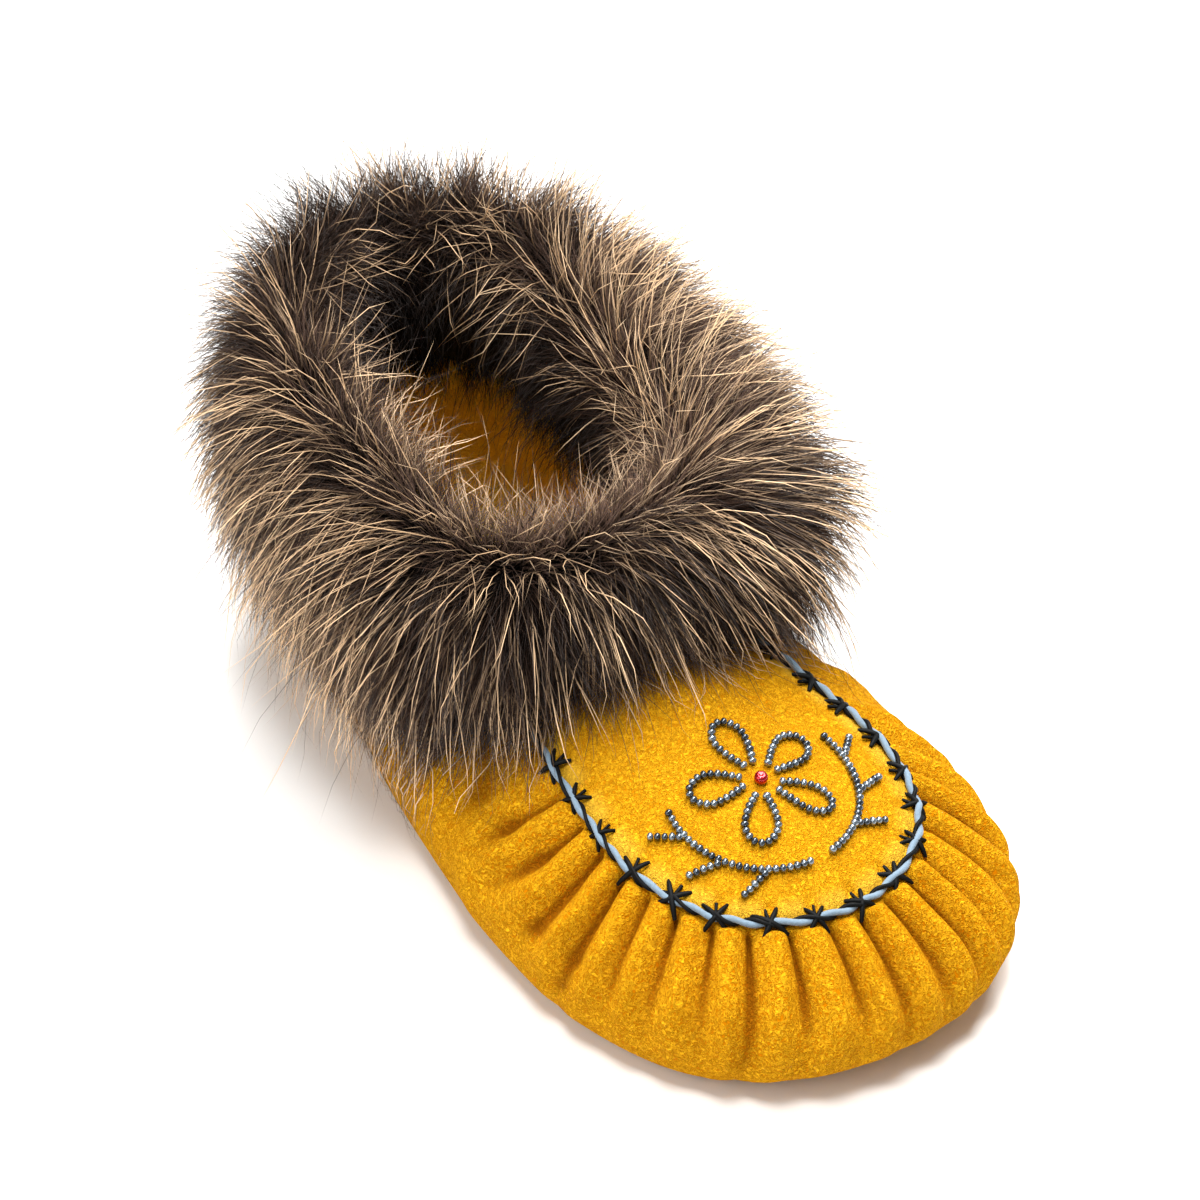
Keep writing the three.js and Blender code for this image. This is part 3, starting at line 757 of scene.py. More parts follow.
def wall_frame(place, t):
    """Outward direction of the smooth hide, and the way up along its rib."""
    around = smooth_wall(place + LOOP_STEP, t) - smooth_wall(place - LOOP_STEP, t)
    above, below = np.minimum(t + LOOP_STEP, 1), np.maximum(t - LOOP_STEP, 0)
    upward = smooth_wall(place, above) - smooth_wall(place, below)
    return unit(np.cross(around, upward)), unit(upward)


def ripple(fold, t):
    """Slow wave of a fold along its length, so that no two folds run alike."""
    return sum(share * np.sin(turns * t + shift * fold) for turns, shift, share in RIPPLES)


def gathers(turn, t):
    """Ridges and troughs of the gathered toe."""
    start, depth, reach = PUCKERS.T
    down = np.clip(PUCKER_TOP - t, 0, 1)
    leant = turn + np.interp(turn, *FOLD_LEAN.T) * down
    row = np.clip(np.searchsorted(start, leant, side="right") - 1, 0, len(start) - 2)
    span = start[row + 1] - start[row]
    u = np.clip((leant - start[row]) / span, 0, 1)
    bent = np.clip(u + RIPPLE_SHARE * ripple(row + 1.0, t) * np.sin(np.pi * u), 0, 1)
    roundness = RIDGE_SOFT + (RIDGE_SHARP - RIDGE_SOFT) * smoothstep(t, *SHARP_HEIGHTS)
    ridge = np.sin(np.pi * bent) ** roundness - RIDGE_MEAN
    crown = CROWN_SHARE * np.sin(2 * np.pi * bent) * np.sin(CROWN_TURNS[0] * row + CROWN_TURNS[1] * t)
    edge = np.minimum(bent, 1 - bent) * span * LOOP_LENGTH
    trough = TROUGH_SHARE * np.exp(-((edge / TROUGH_WIDTH) ** 2)) * smoothstep(t, *TROUGH_HEIGHTS)
    here = depth[row] * (1 - u) + depth[row + 1] * u
    here = here * (1 + OUTER_GAIN * smoothstep(np.abs(turn), *OUTER_PLACES))
    begin = REACH_START + REACH_SPREAD * (reach[row] * (1 - u) + reach[row + 1] * u - REACH_MIDDLE)
    grown = smoothstep(t, np.minimum(begin, REACH_MOST), PUCKER_FULL) * (1 - smoothstep(t, *PUCKER_END))
    within = (leant > start[0]) & (leant < start[-1])
    return np.where(within, here * (ridge + crown - trough) * grown, 0)


def creases(turn, t):
    """Creases across the wall, and the ridges and troughs that run down it beside the gathers."""
    total = 0
    for where, high, length, width, slant, deep in CREASES:
        away = np.mod(turn - where + 0.5, 1) - 0.5
        across = (t - high - slant * away) / width
        total = total - deep * np.exp(-((away / length) ** 2) - across**2)
    for where, lean, low, high, width, rise in SIDE_FOLDS:
        away = (turn - where + lean * (t - 0.5)) / width
        part = smoothstep(t, low, low + SIDE_FOLD_START) * (1 - smoothstep(t, high - SIDE_FOLD_END, high))
        total = total + rise * np.exp(-(away**2)) * part
    return total


def unevenness(turn, t):
    """Slow waves of a hide that was never quite flat."""
    round_hide = 2 * np.pi * turn
    waves = sum(np.sin(around * round_hide + upward * t + shift) for around, upward, shift in UNEVEN_WAVES)
    return UNEVENNESS * waves * smoothstep(t, *UNEVEN_RISE) * (1 - smoothstep(t, *UNEVEN_FADE))


def folds(place, t):
    """How far the gathers, creases and soft unevenness stand out of the smooth hide, in millimetres."""
    turn = np.where(place > 0.5, place - 1, place)
    return gathers(turn, t) + creases(turn, t) + unevenness(turn, t)


def wall(place, t, depth):
    """Points of the hide, a given depth below its outer face."""
    normal, _ = wall_frame(place, t)
    return smooth_wall(place, t) + normal * (folds(place, t) - depth)[..., None]


def sole_point(place, share, height):
    """Points of the sole, a share of the way from its middle to its edge."""
    x, y = ribs(place)["sole"]
    outside = max((share - SOLE_FLAT) / (1 - SOLE_FLAT), 0)
    return np.stack([x * share, y * share, lift(x, y) * outside + height], axis=-1)


def lid_point(place, share, edge):
    """Points of the vamp's outer face, share 0 at its edge and 1 on its ridge line."""
    _, top_y = ribs(place)["top"]
    front, back = lengthwise(RIDGE_FRONT), lengthwise(RIDGE_BACK)

    def softened(y):
        return RIDGE_SOFTNESS * np.log1p(np.exp(y / RIDGE_SOFTNESS))

    y = front + softened(top_y - front) - softened(top_y - back)
    height = np.interp(y / HIDE_LENGTH + 0.5, *RIDGE_LINE.T) * INSTEP_HEIGHT
    ridge = np.stack([swing(y), y, height], axis=-1)
    point = edge + (ridge - edge) * share[..., None]
    rise = 1 - (1 - share) ** CROWN_POWER
    point[..., 2] = edge[..., 2] + (ridge[..., 2] - edge[..., 2]) * rise
    return point


# Meshes and materials


def as_piece(name, mesh):
    """Object at the origin with a finished mesh."""
    piece = bpy.data.objects.new(name, mesh)
    bpy.context.scene.collection.objects.link(piece)
    return piece


def new_piece(name, points, faces, material, smooth=True):
    """Object at the origin from points in millimetres and faces."""
    mesh = bpy.data.meshes.new(name)
    mesh.from_pydata((np.asarray(points) * MM).tolist(), [], faces)
    mesh.update()
    if smooth:
        mesh.shade_smooth()
    mesh.materials.append(material)
    return as_piece(name, mesh)


def dress(piece, slot, *nodes):
    """Puts a finished piece on the shoe in place of its solids."""
    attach(piece, "root")
    if nodes:
        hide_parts(*nodes)


def ring_faces(count, rings):
    """Quads between rings of equal count, the rings closed."""
    k = np.arange(count)
    nxt = (k + 1) % count
    strips = []
    for ring in range(rings - 1):
        low, high = ring * count, (ring + 1) * count
        strips.append(np.stack([low + k, low + nxt, high + nxt, high + k], axis=1))
    return np.vstack(strips)


def grid_faces(rows, columns):
    """Quads of a grid of points, row after row."""
    r, c = np.meshgrid(np.arange(rows - 1), np.arange(columns - 1), indexing="ij")
    a = (r * columns + c).ravel()
    return np.stack([a, a + columns, a + columns + 1, a + 1], axis=1)


def ring_body(start, rings, end):
    """Points and faces of a closed body through rings, with a point at each end."""
    count = len(rings[0])
    points = np.vstack([*rings, start, end])
    faces = ring_faces(count, len(rings)).tolist()
    first, last = len(points) - 2, len(points) - 1
    high = (len(rings) - 1) * count
    for k in range(count):
        nxt = (k + 1) % count
        faces.append([first, nxt, k])
        faces.append([high + k, high + nxt, last])
    return points, faces


def add_node(tree, kind, links=None, **settings):
    """Adds a node with its settings, and links its inputs to other nodes' outputs or sets their values."""
    node = tree.nodes.new(kind)
    for key, value in settings.items():
        setattr(node, key, value)
    for name, source in (links or {}).items():
        socket = node.inputs[name]
        if isinstance(source, bpy.types.NodeSocket):
            tree.links.new(source, socket)
        else:
            socket.default_value = source
    return node


def new_material(name):
    """Empty material with its shader and output."""
    material = bpy.data.materials.new(name)
    material.use_nodes = True
    tree = material.node_tree
    tree.nodes.clear()
    shader = add_node(tree, "ShaderNodeBsdfPrincipled")
    output = add_node(tree, "ShaderNodeOutputMaterial")
    tree.links.new(shader.outputs["BSDF"], output.inputs["Surface"])
    return material, tree, shader


def curls(tree, place, scale, shift):
    """Worm-like curls of nap, 1 along a fibre and 0 between fibres."""
    moved = add_node(tree, "ShaderNodeVectorMath", {0: place, 1: (shift, 2 * shift, -shift)})
    noise = add_node(
        tree, "ShaderNodeTexNoise",
        {"Vector": moved.outputs["Vector"], "Scale": scale, "Detail": NAP_BREAKUP, "Distortion": NAP_TWIST},
    )
    centred = add_node(tree, "ShaderNodeMath", {0: noise.outputs["Fac"], 1: 0.5}, operation="SUBTRACT")
    away = add_node(tree, "ShaderNodeMath", {0: centred.outputs["Value"]}, operation="ABSOLUTE")
    fibre = add_node(
        tree, "ShaderNodeMapRange",
        {
            "Value": away.outputs["Value"], "From Min": 0.0, "From Max": FIBRE_SHARE,
            "To Min": 1.0, "To Max": 0.0,
        },
    )
    return fibre.outputs["Result"]


def suede(name, settings, fineness, depth, fold_shade_and_rub):
    """Sueded hide: split leather brushed to a curly nap, so it looks soft, dull and deep in colour.

    Real nap is finer: its curls are drawn a few times coarser, so that they show from a step away.
    A depth of 0 leaves the ground between the curls as bright as they are; that darker ground is painted
    shade between the fibres, and the paler curls are painted light on their tops. With fold shade and rub
    the nap also takes painted shade in the folds, and rubbed nap that on the hide's inside is painted light.
    """
    material, tree, shader = new_material(name)
    place = add_node(tree, "ShaderNodeTexCoord").outputs["Object"]
    scale = fineness / settings.fibre
    long_curls = curls(tree, place, scale, 0.0)
    cross_curls = curls(tree, place, CROSS_FINENESS * scale, CROSS_SHIFT)
    lower = add_node(tree, "ShaderNodeMath", {0: cross_curls, 1: CROSS_HEIGHT}, operation="MULTIPLY")
    nap_height = add_node(
        tree, "ShaderNodeMath", {0: long_curls, 1: lower.outputs["Value"]}, operation="MAXIMUM"
    ).outputs["Value"]
    broad = add_node(
        tree, "ShaderNodeTexNoise", {"Vector": place, "Scale": 1 / (PATCH_SIZE * MM), "Detail": 3.0}
    )
    patch = add_node(
        tree, "ShaderNodeMapRange",
        {
            "Value": broad.outputs["Fac"], "From Min": PATCH_NOISE[0], "From Max": PATCH_NOISE[1],
            "To Min": 0.0, "To Max": PATCH_SHARE,
        },
    )
    # The ground between the curls takes painted shade between the fibres, as dark as depth sets, and the
    # curls take painted light on their tops
    between = tuple(b + (d - b) * depth for b, d in zip(settings.bright, settings.shade))
    layers = [(nap_height, settings.bright), (patch.outputs["Result"], between)]
    # Painted shade in the gathers' valleys from the fold values, and the rubbed colour from the rub values
    if fold_shade_and_rub:
        for name, tint in (("fold", settings.valley_shade), ("rub", settings.rubbed_and_lit)):
            layers.append((add_node(tree, "ShaderNodeAttribute", attribute_name=name).outputs["Fac"], tint))
    nap = between
    for share, tint in layers:
        mix = {"Factor": share, MIX_FROM: nap, MIX_TO: tuple(tint)}
        nap = add_node(tree, "ShaderNodeMix", mix, data_type="RGBA").outputs[MIX_RESULT]
    tree.links.new(nap, shader.inputs["Base Color"])
    shader.inputs["Roughness"].default_value = 0.95
    shader.inputs["Specular IOR Level"].default_value = 0.02
    shader.inputs["Sheen Weight"].default_value = 0.1
    shader.inputs["Sheen Roughness"].default_value = 0.4
    shader.inputs["Sheen Tint"].default_value = tuple(settings.sheen)
    relief = add_node(
        tree, "ShaderNodeBump",
        {"Height": nap_height, "Strength": 0.6 + 0.4 * depth, "Distance": NAP_RELIEF * MM / fineness},
    )
    tree.links.new(relief.outputs["Normal"], shader.inputs["Normal"])
    return material


def set_values(piece, name, values):
    """Stores one value a vertex, such as where the nap is rubbed flat, where the hide's inside takes painted
    light, and where painted shade falls in a fold.
    """
    layer = piece.data.attributes.new(name, "FLOAT", "POINT")
    layer.data.foreach_set("value", np.asarray(values, dtype=np.float32))


class MOCCASIN_OT_hide(bpy.types.Operator):
    """Make the gathered hide of the sole and sides"""

    bl_idname = "moccasin.hide"
    bl_label = "Sole and sides"

    def execute(self, context):
        toe = np.linspace(PUCKERS[0, 0], PUCKERS[-1, 0], GATHER_COLUMNS, endpoint=False)
        heel = np.linspace(PUCKERS[-1, 0], PUCKERS[0, 0] + 1, HEEL_COLUMNS, endpoint=False)
        places = np.concatenate([toe, heel])
        rings = [sole_point(places, share, 0) for share in SOLE_SHARES]
        rings += [wall(places, np.full_like(places, t), 0) for t in OUTER_ROWS]
        rings += [wall(places, np.full_like(places, t), HIDE_THICKNESS) for t in INNER_ROWS]
        rings += [sole_point(places, share, HIDE_THICKNESS) for share in reversed(SOLE_SHARES)]
        points, faces = ring_body((0, 0, 0), rings, (0, 0, HIDE_THICKNESS))
        points[:, 2] = np.maximum(points[:, 2], 0)
        material = suede("Sueded hide", context.scene.moccasin_hide, fineness=1.0, depth=1.0, fold_shade_and_rub=True)
        piece = new_piece("hide_sole_and_sides", points, faces, material)
        fold, rub = np.zeros((2, len(points)))
        outside = (len(SOLE_SHARES) + np.arange(len(OUTER_ROWS))) * len(places)
        # Painted shade in the valleys, darker the deeper the valley
        for first, t in zip(outside, OUTER_ROWS):
            valley = -folds(places, np.full_like(places, t))
            fold[first:first + len(places)] = FOLD_SHADE * smoothstep(valley, *FOLD_DEPTHS)
        # The hide's inner face and the sole's inner face take the rubbed colour in full: painted light, so
        # that the inside seen through the hole looks lit
        rub[outside[-1] + len(places):] = 1
        # The last two points are the middles of the sole's outer and inner face
        rub[-2] = 0
        set_values(piece, "fold", fold)
        set_values(piece, "rub", rub)
        dress(piece, "hide", "sole_and_sides")
        return {"FINISHED"}


def vamp_grids(steps, shares):
    """Outer and inner points of the vamp, rows along the seam and columns in to the ridge line."""
    places = np.linspace(-THROAT, THROAT, steps + 1)
    normal, upward = wall_frame(places, np.ones_like(places))
    edge = smooth_wall(places, np.ones_like(places)) + upward * GAP
    outer = lid_point(places[:, None], np.broadcast_to(shares, (len(places), len(shares))), edge[:, None, :])
    turned = smoothstep(shares, 0, VAMP_TURN)[None, :, None]
    way = unit(normal[:, None, :] * (1 - turned) + np.array([0, 0, 1.0]) * turned)
    return places, outer, way


class MOCCASIN_OT_vamp(bpy.types.Operator):
    """Make the crowned apron over the toes"""

    bl_idname = "moccasin.vamp"
    bl_label = "Vamp"

    def execute(self, context):
        places, outer, way = vamp_grids(VAMP_STEPS, VAMP_SHARES)
        reach = np.linalg.norm(outer - outer[:, :1], axis=-1)
        stations = seam_stations(context.scene.moccasin_trim.stitch_step / MM)
        pull = np.abs(seam_lengths(places)[:, None] - stations[None]).min(axis=1)[:, None]
        puff = PUFF_HEIGHT * smoothstep(pull, *PUFF_PULL)
        puff = puff * smoothstep(reach, *PUFF_RISE) * (1 - smoothstep(reach, *PUFF_FADE))
        dimple = np.exp(-((pull / DIMPLE_LENGTH) ** 2) - ((reach - DIMPLE_EDGE) / DIMPLE_WIDTH) ** 2)
        sideways = np.sin(outer[..., 0] * SWELL_TURNS[0] + SWELL_SHIFT)
        lengthways = np.sin(outer[..., 1] * SWELL_TURNS[1])
        swell = SWELL_HEIGHT * sideways * lengthways * smoothstep(reach, *SWELL_RISE)
        swollen = outer + way * (puff - DIMPLE_DEPTH * dimple + swell)[..., None]
        rows, columns = outer.shape[:2]
        inner = outer - way * HIDE_THICKNESS
        points = np.vstack([swollen.reshape(-1, 3), inner.reshape(-1, 3)])
        half = rows * columns
        over = grid_faces(rows, columns)
        faces = [over, over[:, ::-1] + half]
        rim = np.arange(rows - 1) * columns
        faces.append(np.stack([rim + half, rim + half + columns, rim + columns, rim], axis=1))
        start = np.arange(columns - 1)
        faces.append(np.stack([start + half, start, start + 1, start + 1 + half], axis=1))
        end = start + (rows - 1) * columns
        faces.append(np.stack([end + half, end + 1 + half, end + 1, end], axis=1))
        material = suede("Sueded vamp", context.scene.moccasin_hide, fineness=1.1, depth=0.9, fold_shade_and_rub=True)
        piece = new_piece("vamp_apron", points, np.vstack(faces).tolist(), material)
        rub = RUB_SHARE * (1 - smoothstep(reach, *RUB_FADE)) * smoothstep(pull, *RUB_PULL)
        set_values(piece, "rub", np.concatenate([rub.ravel(), np.zeros(half)]))
        weld(piece)
        dress(piece, "vamp_hide", "vamp")
        return {"FINISHED"}


def weld(piece):
    """Joins points that lie on each other, such as those along a fold line."""
    work = bmesh.new()
    work.from_mesh(piece.data)
    bmesh.ops.remove_doubles(work, verts=work.verts, dist=WELD * MM)
    work.to_mesh(piece.data)
    work.free()


class MOCCASIN_OT_insole(bpy.types.Operator):
    """Make the suede insole with its rounded edge"""

    bl_idname = "moccasin.insole"
    bl_label = "Insole"

    def execute(self, context):
        places = np.linspace(0, 1, INSOLE_COLUMNS, endpoint=False)
        low = HIDE_THICKNESS + INSOLE_GAP
        rings = [sole_point(places, share, low + height) for share, height in INSOLE_SECTION]
        points, faces = ring_body((0, 0, low), rings, (0, 0, low + INSOLE_THICKNESS))
        # Painted light: the insole keeps almost no shade between its curls, so it is lighter than the hide
        # and looks lit through the hole
        material = suede("Sueded insole", context.scene.moccasin_hide, fineness=1.0, depth=0.1, fold_shade_and_rub=False)
        piece = new_piece("insole_pad", points, faces, material)
        dress(piece, "insole_hide", "insole")
        return {"FINISHED"}


# Cord and stitches


def seam_path(places):
    """Points of the seam, the way out of the hide and the way across it to the vamp."""
    normal, upward = wall_frame(places, np.ones_like(places))
    return smooth_wall(places, np.ones_like(places)) + upward * GAP / 2, normal, upward


def seam_lengths(places):
    """Millimetres along the seam from the toe."""
    points = seam_path(SEAM_PLACES)[0]
    run = np.concatenate([[0], np.cumsum(np.linalg.norm(np.diff(points, axis=0), axis=1))])
    run -= np.interp(0, SEAM_PLACES, run)
    return np.interp(places, SEAM_PLACES, run)


def seam_stations(step):
    """Millimetres along the seam of each cross stitch."""
    end = seam_lengths(np.array([CORD_END]))[0] - STITCH_END_ROOM
    count = int(2 * end / step)
    rng = np.random.default_rng(SEED + 2)
    return (np.arange(count) - (count - 1) / 2) * step + rng.uniform(-STITCH_JITTER, STITCH_JITTER, count)


def places_at(lengths):
    """Places on the loop at millimetres along the seam."""
    return np.interp(lengths, seam_lengths(SEAM_PLACES), SEAM_PLACES)


def tube(points, radii, sides, side, other):
    """Points and faces of a closed round bar along points, with its cross directions."""
    turn = np.arange(sides) * 2 * np.pi / sides
    cross = side[:, None] * np.cos(turn)[None, :, None] + other[:, None] * np.sin(turn)[None, :, None]
    rings = points[:, None] + cross * radii[:, None, None]
    return ring_body(points[0], list(rings), points[-1])


def yarn(name, shade, fibre, sheen):
    """Twisted yarn: fine plied strands whose slant shows as short soft stripes."""
    material, tree, shader = new_material(name)
    place = add_node(tree, "ShaderNodeTexCoord").outputs["Object"]
    fuzz = add_node(
        tree, "ShaderNodeTexNoise",
        {"Vector": place, "Scale": 1 / (fibre * MM), "Detail": 2.0, "Distortion": 0.8},
    ).outputs["Fac"]
    pale = tuple(min(c * YARN_PALE, 1) for c in shade[:3]) + (1.0,)
    dark = tuple(c * YARN_DARK for c in shade[:3]) + (1.0,)
    mix = {"Factor": fuzz, MIX_FROM: dark, MIX_TO: pale}
    hue = add_node(tree, "ShaderNodeMix", mix, data_type="RGBA")
    tree.links.new(hue.outputs[MIX_RESULT], shader.inputs["Base Color"])
    shader.inputs["Roughness"].default_value = 0.55
    shader.inputs["Specular IOR Level"].default_value = 0.12
    shader.inputs["Sheen Weight"].default_value = sheen
    bump = add_node(tree, "ShaderNodeBump", {"Height": fuzz, "Strength": 0.35, "Distance": YARN_RELIEF * MM})
    tree.links.new(bump.outputs["Normal"], shader.inputs["Normal"])
    return material


class MOCCASIN_OT_cord(bpy.types.Operator):
    """Twist the pale and the black strand along the seam"""

    bl_idname = "moccasin.cord"
    bl_label = "Seam cord"

    def execute(self, context):
        trim = context.scene.moccasin_trim
        places = np.linspace(-CORD_END, CORD_END, CORD_STEPS)
        point, normal, across = seam_path(places)
        along = seam_lengths(places)
        middle = point + normal * (CORD_RADIUS - CORD_SUNK)
        twist = 2 * np.pi * along / CORD_TWIST + TWIST_SLACK * np.sin(along * TWIST_SLACK_TURNS)
        to_end = np.minimum(along - along[0], along[-1] - along)
        slim = CORD_END_SHARE + (1 - CORD_END_SHARE) * smoothstep(to_end, 0, CORD_TAPER)
        finishes = {
            "pale": yarn("Pale cotton cord", trim.pale, CORD_FIBRE, 0.3),
            "black": yarn("Black cotton cord", trim.black, CORD_FIBRE, 0.0),
        }
        for name, start, radius, offset in CORD_STRANDS:
            turn = twist + start
            sideways = across * (offset * np.cos(turn))[:, None]
            path = middle + sideways + normal * (offset * np.sin(turn))[:, None]
            points, faces = tube(path, radius * slim, CORD_SIDES, across, normal)
            outward = [face[::-1] for face in faces]
            piece = new_piece("cord_%s_strand" % name, points, outward, finishes[name])
            dress(piece, "cord", *(["seam_cord"] if name == "pale" else []))
        return {"FINISHED"}


def socket_in(tree, name, kind, value):
    """Named input of a node tree."""
    item = tree.interface.new_socket(name=name, in_out="INPUT", socket_type=kind)
    item.default_value = value
    return item.identifier


def run_tree(tree, source, inputs, name):
    """Plain mesh object from a node tree on a source mesh."""
    holder = as_piece(name + "_source", source)
    modifier = holder.modifiers.new("Nodes", "NODES")
    modifier.node_group = tree
    for identifier, value in inputs.items():
        modifier[identifier] = value
    graph = bpy.context.evaluated_depsgraph_get()
    mesh = bpy.data.meshes.new_from_object(holder.evaluated_get(graph), depsgraph=graph)
    mesh.name = name
    holder.modifiers.remove(modifier)
    bpy.data.objects.remove(holder)
    bpy.data.meshes.remove(source)
    return as_piece(name, mesh)


def new_tree(name):
    """Geometry tree with its mesh in and out."""
    tree = bpy.data.node_groups.new(name, "GeometryNodeTree")
    tree.interface.new_socket(name="Geometry", in_out="INPUT", socket_type="NodeSocketGeometry")
    tree.interface.new_socket(name="Geometry", in_out="OUTPUT", socket_type="NodeSocketGeometry")
    return tree


def stitch_tree(material):
    """Cross of two threads on every point, turned to the seam, with a little irregularity."""
    tree = new_tree("Cross stitches")
    thread = socket_in(tree, "Thread", "NodeSocketFloat", 0.0006)
    reach = socket_in(tree, "Reach", "NodeSocketFloat", 0.005)
    given = add_node(tree, "NodeGroupInput").outputs
    arms = []
    for arm in ARMS:
        start, crest, end = (
            add_node(tree, "ShaderNodeVectorMath", {0: spot, "Scale": given["Reach"]}, operation="SCALE")
            for spot in arm
        )
        arc = add_node(
            tree, "GeometryNodeCurveQuadraticBezier",
            {"Resolution": STITCH_STEPS, "Start": start.outputs["Vector"], "Middle": crest.outputs["Vector"],
             "End": end.outputs["Vector"]},
        )
        arms.append(arc.outputs["Curve"])
    tail = add_node(tree, "ShaderNodeVectorMath", {0: TAIL, "Scale": given["Reach"]}, operation="SCALE")
    line = add_node(tree, "GeometryNodeCurvePrimitiveLine", {"End": tail.outputs["Vector"]})
    both = add_node(tree, "GeometryNodeJoinGeometry")
    for arm in (*arms, line.outputs["Curve"]):
        tree.links.new(arm, both.inputs["Geometry"])
    profile = add_node(
        tree, "GeometryNodeCurvePrimitiveCircle", {"Resolution": STITCH_SIDES, "Radius": given["Thread"]}
    )
    way = add_node(tree, "GeometryNodeSplineParameter").outputs["Factor"]
    off = add_node(tree, "ShaderNodeMath", {0: way, 1: 0.5}, operation="SUBTRACT").outputs["Value"]
    square = add_node(tree, "ShaderNodeMath", {0: off, 1: off}, operation="MULTIPLY").outputs["Value"]
    slim = add_node(
        tree, "ShaderNodeMath", {0: square, 1: -STITCH_TAPER, 2: 1.0}, operation="MULTIPLY_ADD"
    ).outputs["Value"]
    cross = add_node(
        tree, "GeometryNodeCurveToMesh",
        {"Curve": both.outputs["Geometry"], "Profile Curve": profile.outputs["Curve"], "Scale": slim,
         "Fill Caps": True},
    )
    along = add_node(tree, "GeometryNodeInputNamedAttribute", {"Name": "along"}, data_type="FLOAT_VECTOR")
    out = add_node(tree, "GeometryNodeInputNamedAttribute", {"Name": "out"}, data_type="FLOAT_VECTOR")
    turn = add_node(
        tree, "FunctionNodeAxesToRotation",
        {"Primary Axis": out.outputs["Attribute"], "Secondary Axis": along.outputs["Attribute"]},
        primary_axis="Z", secondary_axis="X",
    )
    tilt = add_node(
        tree, "FunctionNodeRandomValue",
        {0: tuple(-most for most in STITCH_TILT), 1: STITCH_TILT, "Seed": SEED},
        data_type="FLOAT_VECTOR",
    )
    spin = add_node(tree, "FunctionNodeEulerToRotation", {"Euler": tilt.outputs[0]})
    turned = add_node(
        tree, "FunctionNodeRotateRotation",
        {"Rotation": turn.outputs["Rotation"], "Rotate By": spin.outputs["Rotation"]},
        rotation_space="LOCAL",
    )
    size = add_node(
        tree, "FunctionNodeRandomValue", {0: STITCH_SMALLEST, 1: STITCH_LARGEST, "Seed": SEED + 1},
        data_type="FLOAT_VECTOR",
    )
    copies = add_node(
        tree, "GeometryNodeInstanceOnPoints",
        {"Points": given["Geometry"], "Instance": cross.outputs["Mesh"],
         "Rotation": turned.outputs["Rotation"], "Scale": size.outputs[0]},
    )
    real = add_node(tree, "GeometryNodeRealizeInstances", {"Geometry": copies.outputs["Instances"]})
    smooth = add_node(tree, "GeometryNodeSetShadeSmooth", {"Geometry": real.outputs["Geometry"]})
    coloured = add_node(
        tree, "GeometryNodeSetMaterial", {"Geometry": smooth.outputs["Geometry"], "Material": material}
    )
    add_node(tree, "NodeGroupOutput", {"Geometry": coloured.outputs["Geometry"]})
    return tree, thread, reach


def set_vectors(mesh, name, values):
    """Stores a vector on each point."""
    layer = mesh.attributes.new(name, "FLOAT_VECTOR", "POINT")
    layer.data.foreach_set("vector", np.asarray(values, dtype=np.float32).ravel())


class MOCCASIN_OT_stitches(bpy.types.Operator):
    """Sew the black crosses over the seam"""

    bl_idname = "moccasin.stitches"
    bl_label = "Cross stitches"

    def execute(self, context):
        trim = context.scene.moccasin_trim
        places = places_at(seam_stations(trim.stitch_step / MM))
        point, normal, across = seam_path(places)
        along = unit(np.cross(across, normal))
        source = bpy.data.meshes.new("stitch_points")
        source.from_pydata(((point + normal * STITCH_HEIGHT) * MM).tolist(), [], [])
        set_vectors(source, "along", along)
        set_vectors(source, "out", normal)
        material = yarn("Black waxed thread", trim.black, THREAD_FIBRE, 0.0)
        tree, thread, reach = stitch_tree(material)
        piece = run_tree(tree, source, {thread: trim.thread, reach: STITCH_REACH * MM}, "cross_stitches")
        dress(piece, "cord")
        return {"FINISHED"}


# Beadwork


def glass(name, shade, other):
    """Metal-lined seed bead glass: dark body with bright small reflections and uneven tone."""
    material, tree, shader = new_material(name)
    tone = add_node(tree, "ShaderNodeAttribute", attribute_name="tone").outputs["Fac"]
    mix = {"Factor": tone, MIX_FROM: tuple(shade), MIX_TO: tuple(other)}
    hue = add_node(tree, "ShaderNodeMix", mix, data_type="RGBA")
    tree.links.new(hue.outputs[MIX_RESULT], shader.inputs["Base Color"])
    shader.inputs["Metallic"].default_value = 0.85
    shader.inputs["Roughness"].default_value = 0.22
    shader.inputs["Coat Weight"].default_value = 0.8
    shader.inputs["Coat Roughness"].default_value = 0.05
    return material


